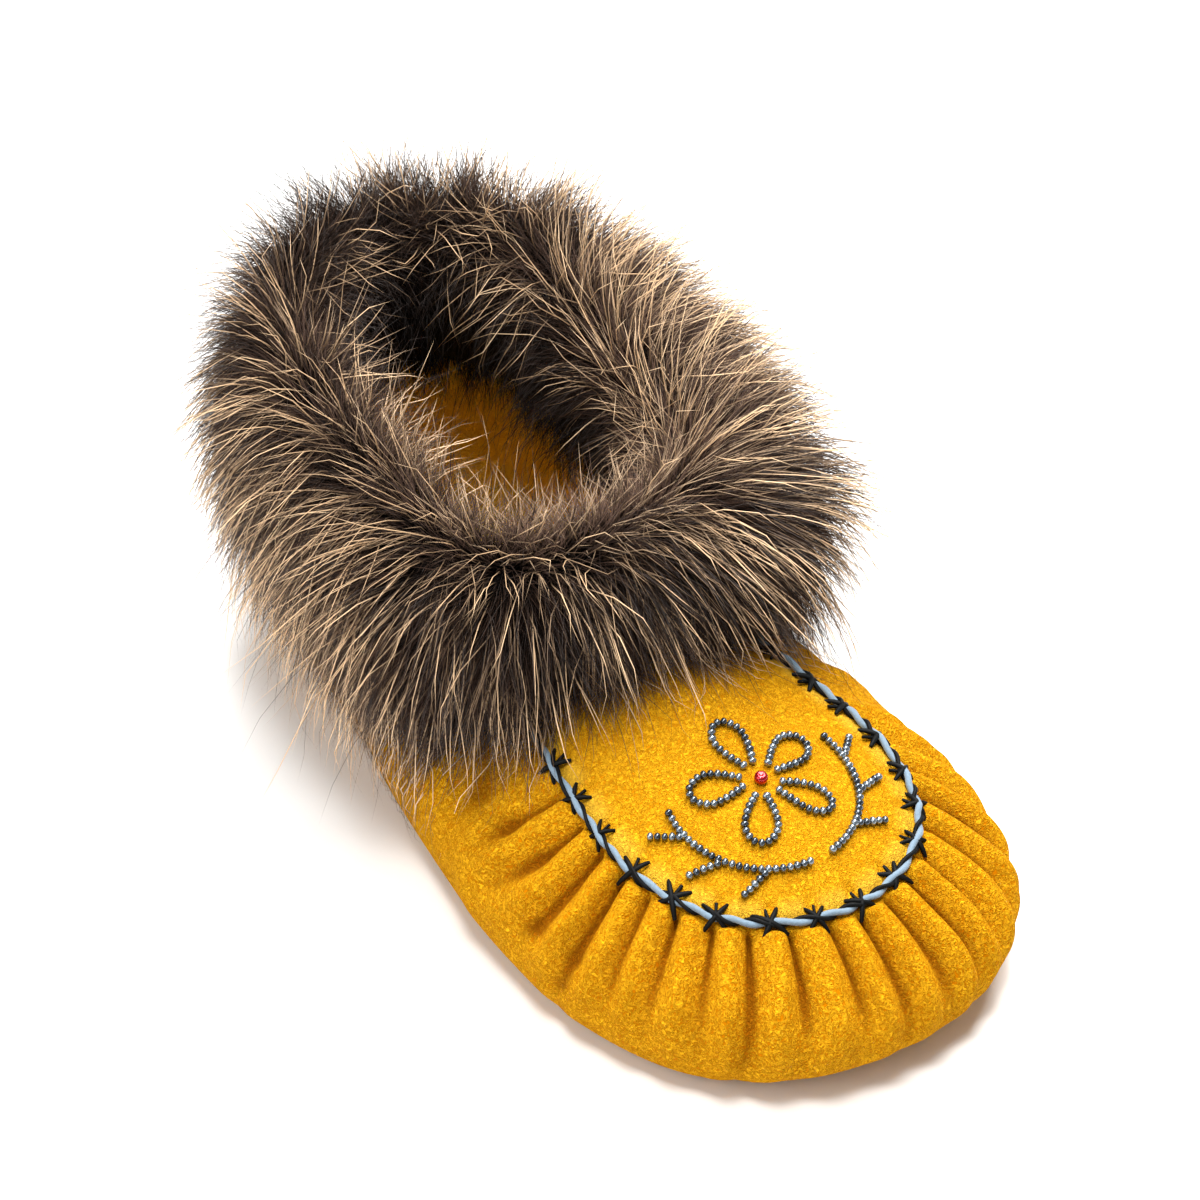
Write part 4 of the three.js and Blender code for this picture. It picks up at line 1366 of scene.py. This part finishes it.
def bead_tree(material):
    """Beads in even steps along every row, each turned to its row."""
    tree = new_tree("Bead rows")
    radius = socket_in(tree, "Radius", "NodeSocketFloat", 0.001)
    pitch = socket_in(tree, "Pitch", "NodeSocketFloat", 0.0015)
    given = add_node(tree, "NodeGroupInput").outputs
    rows = add_node(tree, "GeometryNodeMeshToCurve", {"Mesh": given["Geometry"]})
    steps = add_node(
        tree, "GeometryNodeResampleCurve", {"Curve": rows.outputs["Curve"], "Length": given["Pitch"]},
        mode="LENGTH",
    )
    points = add_node(tree, "GeometryNodeCurveToPoints", {"Curve": steps.outputs["Curve"]}, mode="EVALUATED")
    round_bead = add_node(
        tree, "GeometryNodeMeshUVSphere",
        {"Segments": BEAD_SIDES, "Rings": BEAD_RINGS, "Radius": given["Radius"]},
    )
    turn = add_node(
        tree, "FunctionNodeAlignRotationToVector", {"Vector": points.outputs["Tangent"]}, axis="Z"
    )
    size = add_node(
        tree, "FunctionNodeRandomValue", {0: BEAD_SMALLEST, 1: BEAD_LARGEST, "Seed": SEED + 3},
        data_type="FLOAT_VECTOR",
    )
    copies = add_node(
        tree, "GeometryNodeInstanceOnPoints",
        {"Points": points.outputs["Points"], "Instance": round_bead.outputs["Mesh"],
         "Rotation": turn.outputs["Rotation"], "Scale": size.outputs[0]},
    )
    shade = add_node(tree, "FunctionNodeRandomValue", {2: 0.0, 3: 1.0, "Seed": SEED + 4}, data_type="FLOAT")
    toned = add_node(
        tree, "GeometryNodeStoreNamedAttribute",
        {"Geometry": copies.outputs["Instances"], "Name": "tone", "Value": shade.outputs[1]},
        data_type="FLOAT", domain="INSTANCE",
    )
    real = add_node(tree, "GeometryNodeRealizeInstances", {"Geometry": toned.outputs["Geometry"]})
    smooth = add_node(tree, "GeometryNodeSetShadeSmooth", {"Geometry": real.outputs["Geometry"]})
    coloured = add_node(
        tree, "GeometryNodeSetMaterial", {"Geometry": smooth.outputs["Geometry"], "Material": material}
    )
    add_node(tree, "NodeGroupOutput", {"Geometry": coloured.outputs["Geometry"]})
    return tree, radius, pitch


def curve_through(plan, steps):
    """Even points on a smooth curve through the plan's points."""
    plan = np.asarray(plan, dtype=float)
    ends = np.vstack([2 * plan[0] - plan[1], plan, 2 * plan[-1] - plan[-2]])
    u = np.linspace(0, len(plan) - 1 - 1e-9, steps)
    k = np.floor(u).astype(int)
    f = (u - k)[:, None]
    a, b, c, d = (ends[k + i] for i in range(4))
    return 0.5 * (2 * b + (c - a) * f + (2 * a - 5 * b + 4 * c - d) * f**2 + (3 * b - a - 3 * c + d) * f**3)


def petal_plan(turn):
    """Row of one petal: out from the flower's middle, round the tip and back."""
    there = list(PETAL) + [(out, -half) for out, half in PETAL[-2::-1]]
    ahead = (math.cos(turn), math.sin(turn))
    return [(out * ahead[0] - half * ahead[1], out * ahead[1] + half * ahead[0]) for out, half in there]


def sprig_plans(side):
    """Rows of one sprig: its stem and its leaves."""
    def on_stem(angle):
        turn = math.radians(angle)
        return side * SPRIG_RADIUS * math.cos(turn), SPRIG_RADIUS * math.sin(turn)

    plans = [[on_stem(angle) for angle in np.linspace(SPRIG_FROM, SPRIG_TO, STEM_POINTS)]]
    for angle in LEAF_ANGLES:
        x, y = on_stem(angle)
        turn = math.radians(angle + 90 - LEAF_TURN)
        leaf = np.linspace(LEAF_START, LEAF_LENGTH, LEAF_POINTS)
        plans.append([(x + side * out * math.cos(turn), y + out * math.sin(turn)) for out in leaf])
    return plans


def over_vamp(plan, height):
    """Points over the vamp's outer face above the points of a plan, in millimetres."""
    vamp = bpy.data.objects["vamp_apron"].data
    tree = BVHTree.FromPolygons([v.co for v in vamp.vertices], [p.vertices for p in vamp.polygons])
    points = []
    for x, y in plan:
        start = Vector((x + float(swing(FLOWER_Y)), y + FLOWER_Y, 2 * HEEL_HEIGHT)) * MM
        hit, normal, _, _ = tree.ray_cast(start, Vector((0, 0, -1)))
        if hit is None:
            raise RuntimeError("the beadwork misses the vamp")
        points.append((hit + normal * height * MM) / MM)
    return np.array(points)


def red_bead_body():
    """Points and faces of the bead in the flower's middle, in millimetres round its own middle."""
    turn = np.linspace(0, 2 * np.pi, RED_BEAD_SIDES, endpoint=False)
    ring = np.stack([np.cos(turn), np.sin(turn), np.ones_like(turn)], axis=1)
    rings = [ring * (wide, wide, high) for wide, high in RED_BEAD]
    return ring_body((0, 0, -RED_BEAD_HOLE), rings, (0, 0, RED_BEAD_HOLE))


class MOCCASIN_OT_beads(bpy.types.Operator):
    """Sew the bead rows and the red bead on the vamp"""

    bl_idname = "moccasin.beads"
    bl_label = "Beadwork"

    def execute(self, context):
        trim = context.scene.moccasin_trim
        height = trim.bead_radius / MM * BEAD_SEAT
        material = glass("Steel-lined seed beads", trim.steel, trim.bright_steel)
        tree, radius, pitch = bead_tree(material)
        groups = []
        for k in range(PETAL_COUNT):
            turn = math.pi / 2 + 2 * math.pi * k / PETAL_COUNT
            groups.append(("petal_%d" % (k + 1), [petal_plan(turn)]))
        groups += [("sprig_right", sprig_plans(-1)), ("sprig_left", sprig_plans(1))]
        for node, plans in groups:
            points, edges = [], []
            for plan in plans:
                row = over_vamp(curve_through(plan, ROW_STEPS), height)
                edges += [(len(points) + k, len(points) + k + 1) for k in range(len(row) - 1)]
                points += row.tolist()
            source = bpy.data.meshes.new("bead_rows")
            source.from_pydata((np.array(points) * MM).tolist(), edges, [])
            inputs = {radius: trim.bead_radius, pitch: trim.bead_pitch}
            piece = run_tree(tree, source, inputs, "beads_" + node)
            dress(piece, "steel_beads", node)
        red = glass("Red seed bead", trim.red, trim.red)
        points, faces = red_bead_body()
        centre = over_vamp([(0, 0)], RED_BEAD_SEAT)[0]
        piece = new_piece("bead_centre", points + centre, faces, red)
        dress(piece, "red_bead", "centre_bead")
        return {"FINISHED"}


# Fur


def cuff_point(place, angle, depth):
    """Points of the cuff's roll a depth below the pile, with its outward and combing directions."""
    x, y, z, outward, inward, rise, droop = rows_at(CUFF, place)
    x0, y0 = rows_at(CUFF, place - LOOP_STEP)[:2]
    x1, y1 = rows_at(CUFF, place + LOOP_STEP)[:2]
    out = unit(np.stack([y1 - y0, x0 - x1, np.zeros_like(x)], axis=-1))
    outer = smoothstep(np.cos(angle), *HEM_COSINES)
    across = np.where(np.cos(angle) > 0, outward - depth, inward - INNER_DEPTH * depth)
    below = CUFF_HEM + (droop - LOWER_DEPTH * depth - CUFF_HEM) * outer
    height = np.where(np.sin(angle) > 0, rise - depth, below)
    middle = np.stack([x, y, z + CUFF_LIFT], axis=-1) + out * CUFF_SETOUT
    point = middle + out * (across * np.cos(angle))[..., None]
    point[..., 2] += height * np.sin(angle)
    normal = out * (np.cos(angle) / across)[..., None]
    normal[..., 2] += np.sin(angle) / height
    tangent = out * (-across * np.sin(angle))[..., None]
    tangent[..., 2] += height * np.cos(angle)
    return point, unit(normal), unit(tangent)


def fur_material(name, settings, tips):
    """Hair: dark at the skin, partly its own dark base and partly painted shade deep in the pile, softly
    shining along each hair, with pale ends on the guard hairs.
    """
    material, tree, shader = new_material(name)
    strand = add_node(tree, "ShaderNodeUVMap", uv_map="Strand").outputs["UV"]
    parts = add_node(tree, "ShaderNodeSeparateXYZ", {"Vector": strand})
    along, tone = parts.outputs["X"], parts.outputs["Y"]
    ramps = []
    for value, (low, high) in ((along, BODY_SHARES), (along, PALE_SHARES), (tone, PALE_TONES)):
        rise = add_node(tree, "ShaderNodeMapRange", {"Value": value, "From Min": low, "From Max": high})
        ramps.append(rise.outputs["Result"])
    body, late, pale = ramps
    both = add_node(tree, "ShaderNodeMath", {0: late, 1: pale}, operation="MULTIPLY").outputs["Value"]
    share = add_node(tree, "ShaderNodeMath", {0: both, 1: tips}, operation="MULTIPLY").outputs["Value"]
    lighter = tuple(min(c * LIGHTER, 1) for c in settings.middle[:3]) + (1.0,)
    darker = tuple(c * DARKER for c in settings.middle[:3]) + (1.0,)
    hues = []
    for first, second in ((darker, lighter), (settings.gold, settings.tip)):
        mix = {"Factor": tone, MIX_FROM: tuple(first), MIX_TO: tuple(second)}
        hues.append(add_node(tree, "ShaderNodeMix", mix, data_type="RGBA").outputs[MIX_RESULT])
    hue = tuple(settings.root)
    for factor, above in zip((body, share), hues):
        mix = {"Factor": factor, MIX_FROM: hue, MIX_TO: above}
        hue = add_node(tree, "ShaderNodeMix", mix, data_type="RGBA").outputs[MIX_RESULT]
    tree.links.new(hue, shader.inputs["Base Color"])
    shader.inputs["Roughness"].default_value = 0.45
    shader.inputs["Specular IOR Level"].default_value = 0.04 + 0.4 * tips
    return material


def hair_paths(rng, place, angle, length, laid, points, wave):
    """Middle lines of hairs combed outward from the parting and into the hole, in millimetres."""
    root, normal, tangent = cuff_point(place, angle, PILE_DEPTH)
    turn = 2 * np.pi * place
    parting = np.radians(PARTING_DEGREES)
    parting = parting + sum(size * np.sin(waves * turn + shift) for waves, shift, size in PARTING_WAVES)
    parting = parting + rng.normal(0, PARTING_SPREAD, len(place))
    outward = np.where(angle < parting, -1.0, 1.0)
    inner = smoothstep(angle, parting, parting + INNER_TURN)
    comb = (laid + (INNER_LAID - laid) * inner) * smoothstep(np.abs(angle - parting), 0.0, PARTING_WIDTH)
    comb = comb + rng.normal(COMB_LIFT, COMB_SPREAD, len(place))
    flow = tangent * outward[:, None]
    side = np.cross(normal, flow)
    sway = sum(size * np.sin(waves * turn + rolls * angle) for waves, rolls, size in SWAYS)
    sway = sway + rng.normal(0, SWAY_SPREAD, len(place))
    way = unit(normal * np.cos(comb)[:, None] + flow * np.sin(comb)[:, None] + side * sway[:, None])
    line = [root - normal * ROOT_SUNK]
    step = length / (points - 1)
    curl = rng.normal(0, wave, (len(place), 3))
    for k in range(1, points):
        line.append(line[-1] + way * step[:, None])
        swell = math.cos(HAIR_WAVES * math.pi * k / points)
        pull = flow * HAIR_FLOW + curl * swell - np.array([0, 0, HAIR_SAG])
        way = unit(way + pull * (HAIR_BEND / (points - 1)))
    return np.stack(line, axis=1)


def unrolled(place, angle):
    """Points that lie as near each other as roots on the cuff do, in millimetres."""
    size = CUFF_ROUND / (2 * np.pi)
    turn = 2 * np.pi * place
    return np.stack([size * np.cos(turn), size * np.sin(turn), ROLL_RADIUS * angle], axis=1)


def gather_locks(rng, lines, place, angle, locks, strength):
    """Draws the hairs' ends together into locks."""
    lock_place, lock_angle, lock_lines = locks
    tree = KDTree(len(lock_place))
    for k, spot in enumerate(unrolled(lock_place, lock_angle)):
        tree.insert(spot, k)
    tree.balance()
    target = lock_lines[[tree.find(spot)[1] for spot in unrolled(place, angle)]]
    share = np.linspace(0, 1, lines.shape[1])
    index = share * (target.shape[1] - 1)
    low = np.floor(index).astype(int).clip(0, target.shape[1] - 2)
    f = (index - low)[None, :, None]
    path = target[:, low] * (1 - f) + target[:, low + 1] * f
    calm = 1 - CALM_SHARE * np.exp(-(((angle - CALM_ANGLE) / CALM_SPREAD) ** 2))
    pull = rng.uniform(*LOCK_PULLS, len(place)) * strength * calm
    return lines + (path - lines) * pull[:, None, None] * (share**LOCK_POWER)[None, :, None]


def trimmed(lines):
    """Shortens hairs whose ends would reach past the room round the solids, or to the floor."""
    low, high = (np.array(corner) / MM for corner in CAD_BOX)
    room = PROUD_SHARE * (high - low) + PROUD
    low, high = low - room, high + room
    low[2] = FLOOR_CLEARANCE
    root = lines[:, :1]
    way = lines - root
    space = np.where(way > 0, high - root, root - low)
    share = (space / np.maximum(np.abs(way), 1e-6)).min(axis=(1, 2))
    return root + way * np.clip(share, SHORTEST_TRIM, 1)[:, None, None]


def clear_of_hole(lines, place, slack):
    """Shortens hairs that would reach more than a slack past the roll's inner side, over the hole."""
    rim, inward, _ = cuff_point(place, np.full_like(place, np.pi), np.zeros_like(place))
    past = ((lines - rim[:, None]) * inward[:, None]).sum(axis=-1)
    own = past[:, 0]
    share = (slack - own) / np.maximum(past.max(axis=1) - own, 1e-6)
    root = lines[:, :1]
    return root + (lines - root) * np.clip(share, SHORTEST_OVER_HOLE, 1)[:, None, None]


def rest_on_hide(lines, outer, first):
    """Lifts the points of outer lines that would sink into the hide or the vamp."""
    tree = hide_surface()
    for h in np.nonzero(outer)[0]:
        for k in range(first, lines.shape[1]):
            p = Vector(lines[h, k])
            if p.z > HIGHEST_REST:
                continue
            spot, normal, _, _ = tree.find_nearest(p)
            if (p - spot).dot(normal) < REST_GAP:
                lines[h, k] = spot + normal * REST_GAP * (1 + REST_RISE * k)
                lines[h, k, 2] = max(lines[h, k, 2], FLOOR_CLEARANCE)
    return lines


@functools.lru_cache(maxsize=1)
def hide_surface():
    """Search tree of the hide's outer face and the vamp, in millimetres."""
    places = np.linspace(0, 1, REST_COLUMNS, endpoint=False)
    rings = [smooth_wall(places, np.full_like(places, t)) for t in REST_ROWS]
    _, outer, _ = vamp_grids(REST_STEPS, REST_SHARES)
    points = [tuple(p) for p in np.vstack([*rings, outer.reshape(-1, 3)])]
    faces = ring_faces(len(places), len(rings)).tolist()
    rows, columns = outer.shape[:2]
    faces += (grid_faces(rows, columns) + len(rings) * len(places)).tolist()
    return BVHTree.FromPolygons(points, faces)


def set_strand_uv(mesh, uv):
    """Stores the place along the hair and its tone on each corner, for the finish and for baking."""
    for layer in ("Strand", "OFBake"):
        data = mesh.uv_layers.new(name=layer)
        data.data.foreach_set("uv", uv.astype(np.float32).ravel())
    mesh.uv_layers["Strand"].active_render = True


def strand_faces(count):
    """Triangles of one closed tapering hair with its end at a point."""
    tris = [(0, 2, 1)]
    for k in range(count - 2):
        for j in range(HAIR_SIDES):
            a, b = HAIR_SIDES * k + j, HAIR_SIDES * k + (j + 1) % HAIR_SIDES
            tris += [(a, b, b + HAIR_SIDES), (a, b + HAIR_SIDES, a + HAIR_SIDES)]
    last, end = HAIR_SIDES * (count - 2), HAIR_SIDES * (count - 1)
    tris += [(last + j, last + (j + 1) % HAIR_SIDES, end) for j in range(HAIR_SIDES)]
    return np.array(tris)


def strand_piece(name, lines, radii, tone, material):
    """One mesh of closed three-sided tapering hairs along their middle lines."""
    hairs, count = lines.shape[:2]
    chord = unit(lines[:, -1] - lines[:, 0])
    helper = np.where(np.abs(chord[:, 2:3]) > STEEP, np.array([[1.0, 0, 0]]), np.array([[0, 0, 1.0]]))
    side = unit(np.cross(chord, helper))
    other = np.cross(chord, side)
    turn = np.arange(HAIR_SIDES) * 2 * np.pi / HAIR_SIDES
    cross = side[:, None] * np.cos(turn)[None, :, None] + other[:, None] * np.sin(turn)[None, :, None]
    share = np.linspace(0, 1, count)
    taper = radii[:, None] * np.interp(share, *np.transpose(HAIR_TAPER))[None]
    rings = lines[:, :-1, None] + cross[:, None] * taper[:, :-1, None, None]
    points = np.concatenate([rings.reshape(hairs, -1, 3), lines[:, -1:]], axis=1)
    per = points.shape[1]
    faces = (np.arange(hairs)[:, None, None] * per + strand_faces(count)[None]).reshape(-1, 3)
    along = np.append(np.repeat(share[:-1], HAIR_SIDES), 1.0)
    uv = np.stack(np.broadcast_arrays(along[None], tone[:, None]), axis=-1).reshape(-1, 2)
    uv = STRAND_MARGIN + (1 - 2 * STRAND_MARGIN) * uv
    mesh = bpy.data.meshes.new(name)
    mesh.vertices.add(hairs * per)
    mesh.vertices.foreach_set("co", (points * MM).astype(np.float32).ravel())
    mesh.loops.add(faces.size)
    mesh.loops.foreach_set("vertex_index", faces.astype(np.int32).ravel())
    mesh.polygons.add(len(faces))
    mesh.polygons.foreach_set("loop_start", np.arange(0, faces.size, 3, dtype=np.int32))
    mesh.update(calc_edges=True)
    set_strand_uv(mesh, uv[faces.ravel()])
    mesh.shade_smooth()
    mesh.materials.append(material)
    return as_piece(name, mesh)


def skin_roll(material):
    """Roll of skin that the hairs grow from, in the hairs' near-black root colour: painted shade at the
    bottom of the pile.
    """
    places = np.linspace(0, 1, SKIN_COLUMNS, endpoint=False)
    angles = np.linspace(0, 2 * np.pi, SKIN_ROWS, endpoint=False)
    rings = [cuff_point(places, np.full_like(places, a), PILE_DEPTH)[0] for a in angles]
    faces = ring_faces(len(places), len(rings) + 1) % (len(places) * len(rings))
    outer = np.cos(np.repeat(angles, len(places))) > SKIN_REST_COSINE
    skin = rest_on_hide(np.vstack(rings)[:, None], outer, 0)
    piece = new_piece("fur_skin_roll", skin[:, 0], faces.tolist(), material)
    set_strand_uv(piece.data, np.full((len(piece.data.loops), 2), SKIN_SPOT))
    return piece


def scatter(rng, count):
    """Places round the cuff and angles round the roll of hair roots."""
    place = rng.uniform(0, 1, count)
    return place, np.radians(rng.uniform(*HAIR_DEGREES, count))


def cuff_shares(place, angle):
    """How far hairs grow towards the heel, the throat, the roll's inner side and the lock over the hole."""
    back = 0.5 - 0.5 * np.cos(2 * np.pi * place)
    inner = smoothstep(angle - np.radians(INNER_SHIFT) * back, *np.radians(INNER_DEGREES))
    leaning = np.exp(-(((place - LEANING_PLACE) / LEANING_SPREAD) ** 2))
    return back, (1 - back) ** 2, inner, leaning


def hair_lengths(rng, mean, cut, place, shares):
    """Lengths of hairs in millimetres, with some strays."""
    back, front, inner, leaning = shares
    cut = np.clip(cut - CUT_BACK * back + CUT_FRONT * front - CUT_LEANING * leaning, 0, CUT_MOST)
    lengths = rng.uniform(*LENGTH_SPREAD, len(place)) * mean * (1 - cut * inner)
    lengths = np.where(rng.uniform(0, 1, len(place)) < STRAY_SHARE, STRAY_LENGTH, 1.0) * lengths
    return lengths * (1 + LONG_GAIN * np.exp(-(((place - LONG_PLACE) / LONG_SPREAD) ** 2)))


def hair_slack(rng, place, shares):
    """How far hairs may reach past the roll's inner side, in millimetres."""
    back, _, _, leaning = shares
    sides = np.sin(2 * np.pi * place) ** 2
    chance = rng.uniform(*SLACK_SPREAD, len(place))
    return chance + SLACK_SIDES * sides + SLACK_BACK * back**2 + SLACK_LEANING * leaning


def hair_tones(rng, lip, place, angle, shares):
    """Tone of each hair, paler where the light falls, with painted shade inside the roll, and darker towards
    the heel.
    """
    back, front, inner, _ = shares
    turn = 2 * np.pi * place
    waves, rolls = STRIPE_WAVES
    lit = LIT_MEAN - LIT_ENDS * np.cos(2 * turn) + LIT_STRIPES * np.sin(waves * turn + rolls * angle)
    lit = lit + LIT_RIGHT * np.maximum(np.sin(turn), 0)
    patches = [np.sin(waves * turn + rolls * angle + shift) for waves, rolls, shift in PATCH_WAVES]
    lit = lit + LIT_PATCHES * np.prod(patches, axis=0)
    soft = lip * front**2 * np.exp(-(((angle - LIP_ANGLE) / LIP_SPREAD) ** 2))
    # Painted shade inside the roll, less towards the throat, with a little darkening everywhere and more
    # towards the heel
    dark = (DARK_INSIDE - DARK_INSIDE_FRONT * front) * inner + DARK_ALL + DARK_BACK * back**2
    return np.clip(TONE_CHANCE * rng.uniform(0, 1, len(place)) + TONE_LIT * lit + soft - dark, 0, 1)


class MOCCASIN_OT_fur(bpy.types.Operator):
    """Grow the cuff's underfur and guard hairs over its skin roll"""

    bl_idname = "moccasin.fur"
    bl_label = "Fur cuff"

    def execute(self, context):
        settings = context.scene.moccasin_fur
        rng = np.random.default_rng(SEED)
        sizes = {
            "underfur": (settings.under_count, settings.under_length / MM),
            "middle": (settings.middle_count, settings.middle_length / MM),
            "guard": (settings.guard_count, settings.guard_length / MM),
        }
        finishes = {name: fur_material(title, settings, tips) for name, title, *_, tips in HAIR_KINDS}
        dress(skin_roll(finishes["underfur"]), "fur", "fur_cuff")
        lock_place, lock_angle = scatter(rng, LOCK_COUNT)
        lock_length = rng.uniform(*LOCK_LENGTHS, LOCK_COUNT) * sizes["guard"][1]
        lock_lines = hair_paths(rng, lock_place, lock_angle, lock_length, LOCK_LAID, LOCK_POINTS, LOCK_WAVE)
        locks = (lock_place, lock_angle, lock_lines)
        for name, _, laid, points, wave, thickness, strength, cut, lip, _ in HAIR_KINDS:
            count, mean = sizes[name]
            place, angle = scatter(rng, count)
            shares = cuff_shares(place, angle)
            lengths = hair_lengths(rng, mean, cut, place, shares)
            lines = hair_paths(rng, place, angle, lengths, laid, points, wave)
            lines = gather_locks(rng, lines, place, angle, locks, strength)
            lines = clear_of_hole(lines, place, hair_slack(rng, place, shares))
            lines = rest_on_hide(trimmed(lines), angle < HAIR_REST_ANGLE, 1)
            tone = hair_tones(rng, lip, place, angle, shares)
            radii = thickness * rng.uniform(*THICKNESS_SPREAD, count)
            radii = radii * (THIN + PALE_THICKER * smoothstep(tone, *THICK_TONES))
            most = PIECE_TRIANGLES // len(strand_faces(points))
            for part, start in enumerate(range(0, count, most)):
                pick = slice(start, start + most)
                title = "fur_%s_%d" % (name, part + 1)
                piece = strand_piece(title, lines[pick], radii[pick], tone[pick], finishes[name])
                dress(piece, "fur")
        return {"FINISHED"}


# Stage


def floor_paint(shade):
    """Matt white paint: soft shadows and no mirror image."""
    material, _, shader = new_material("Painted studio floor")
    shader.inputs["Base Color"].default_value = tuple(shade)
    shader.inputs["Roughness"].default_value = 0.8
    shader.inputs["Specular IOR Level"].default_value = 0.1
    return material


def hang_lamps(scene, settings):
    """Hangs the lamps round the shoe, each turned towards it."""
    for name, power, size, spot in LAMPS:
        lamp = bpy.data.lights.new(name, "AREA")
        lamp.energy = getattr(settings, power)
        lamp.size = size
        holder = bpy.data.objects.new(name, lamp)
        holder.location = spot
        holder.rotation_euler = (Vector(LAMP_AIM) - Vector(spot)).to_track_quat("-Z", "Y").to_euler()
        scene.collection.objects.link(holder)


def set_camera(scene):
    """Sets the camera where the photograph was taken from."""
    azimuth, elevation = math.radians(VIEW_AZIMUTH), math.radians(VIEW_ELEVATION)
    level = math.cos(elevation)
    back = Vector((math.sin(azimuth) * level, -math.cos(azimuth) * level, math.sin(elevation)))
    right = Vector((math.cos(azimuth), math.sin(azimuth), 0))
    camera = bpy.data.cameras.new("Photo view")
    camera.sensor_width = SENSOR_WIDTH
    camera.lens = FOCAL_PIXELS * SENSOR_WIDTH / FRAME_PIXELS
    camera.shift_x = -CENTRE_PIXELS[0] / FRAME_PIXELS
    camera.shift_y = CENTRE_PIXELS[1] / FRAME_PIXELS
    camera.clip_start = NEAREST
    holder = bpy.data.objects.new("Photo view", camera)
    turn = Matrix((right, back.cross(right), back)).transposed().to_4x4()
    spot = Vector(VIEW_TARGET) * MM + back * VIEW_DISTANCE * MM
    holder.matrix_world = Matrix.Translation(spot) @ turn
    scene.collection.objects.link(holder)
    scene.camera = holder


class MOCCASIN_OT_stage(bpy.types.Operator):
    """Set the floor, the lights and the camera"""

    bl_idname = "moccasin.stage"
    bl_label = "Stage"

    def execute(self, context):
        scene = context.scene
        settings = scene.moccasin_stage
        scene.view_settings.view_transform = "Standard"
        corners = [(-1, -1), (1, -1), (1, 1), (-1, 1)]
        points = [(FLOOR_HALF * x, FLOOR_HALF * y, -FLOOR_DROP) for x, y in corners]
        material = floor_paint(settings.floor)
        floor = new_piece("studio_floor", points, [(0, 1, 2, 3)], material, smooth=False)
        world = bpy.data.worlds.new("Soft studio sky")
        world.use_nodes = True
        sky = world.node_tree.nodes["Background"]
        sky.inputs["Color"].default_value = linear("#FFFFFF")
        sky.inputs["Strength"].default_value = settings.sky
        scene.world = world
        hang_lamps(scene, settings)
        set_camera(scene)
        return {"FINISHED"}


class MOCCASIN_PT_panel(bpy.types.Panel):
    """Lists the moccasin's pieces and their settings"""

    bl_idname = "MOCCASIN_PT_panel"
    bl_label = "Moccasin"
    bl_space_type = "VIEW_3D"
    bl_region_type = "UI"
    bl_category = "Moccasin"

    def draw(self, context):
        for step in STEPS:
            self.layout.operator(step.bl_idname, text=step.bl_label)
        for group in GROUPS:
            box = self.layout.box()
            settings = getattr(context.scene, group)
            for name in settings.__annotations__:
                box.prop(settings, name)


STEPS = (
    MOCCASIN_OT_stage,
    MOCCASIN_OT_hide,
    MOCCASIN_OT_vamp,
    MOCCASIN_OT_insole,
    MOCCASIN_OT_cord,
    MOCCASIN_OT_stitches,
    MOCCASIN_OT_beads,
    MOCCASIN_OT_fur,
)
GROUPS = {
    "moccasin_hide": MoccasinHide,
    "moccasin_fur": MoccasinFur,
    "moccasin_trim": MoccasinTrim,
    "moccasin_stage": MoccasinStage,
}


def register():
    """Adds the classes and the scene's settings."""
    for made in (*GROUPS.values(), *STEPS, MOCCASIN_PT_panel):
        bpy.utils.register_class(made)
    for name, group in GROUPS.items():
        setattr(bpy.types.Scene, name, PointerProperty(type=group))


def unregister():
    """Removes what register added."""
    for name in GROUPS:
        delattr(bpy.types.Scene, name)
    for made in reversed((*GROUPS.values(), *STEPS, MOCCASIN_PT_panel)):
        bpy.utils.unregister_class(made)


def main():
    """Makes every piece in order."""
    register()
    for step in STEPS:
        group, name = step.bl_idname.split(".")
        getattr(getattr(bpy.ops, group), name)()


if __name__ == "__main__":
    main()
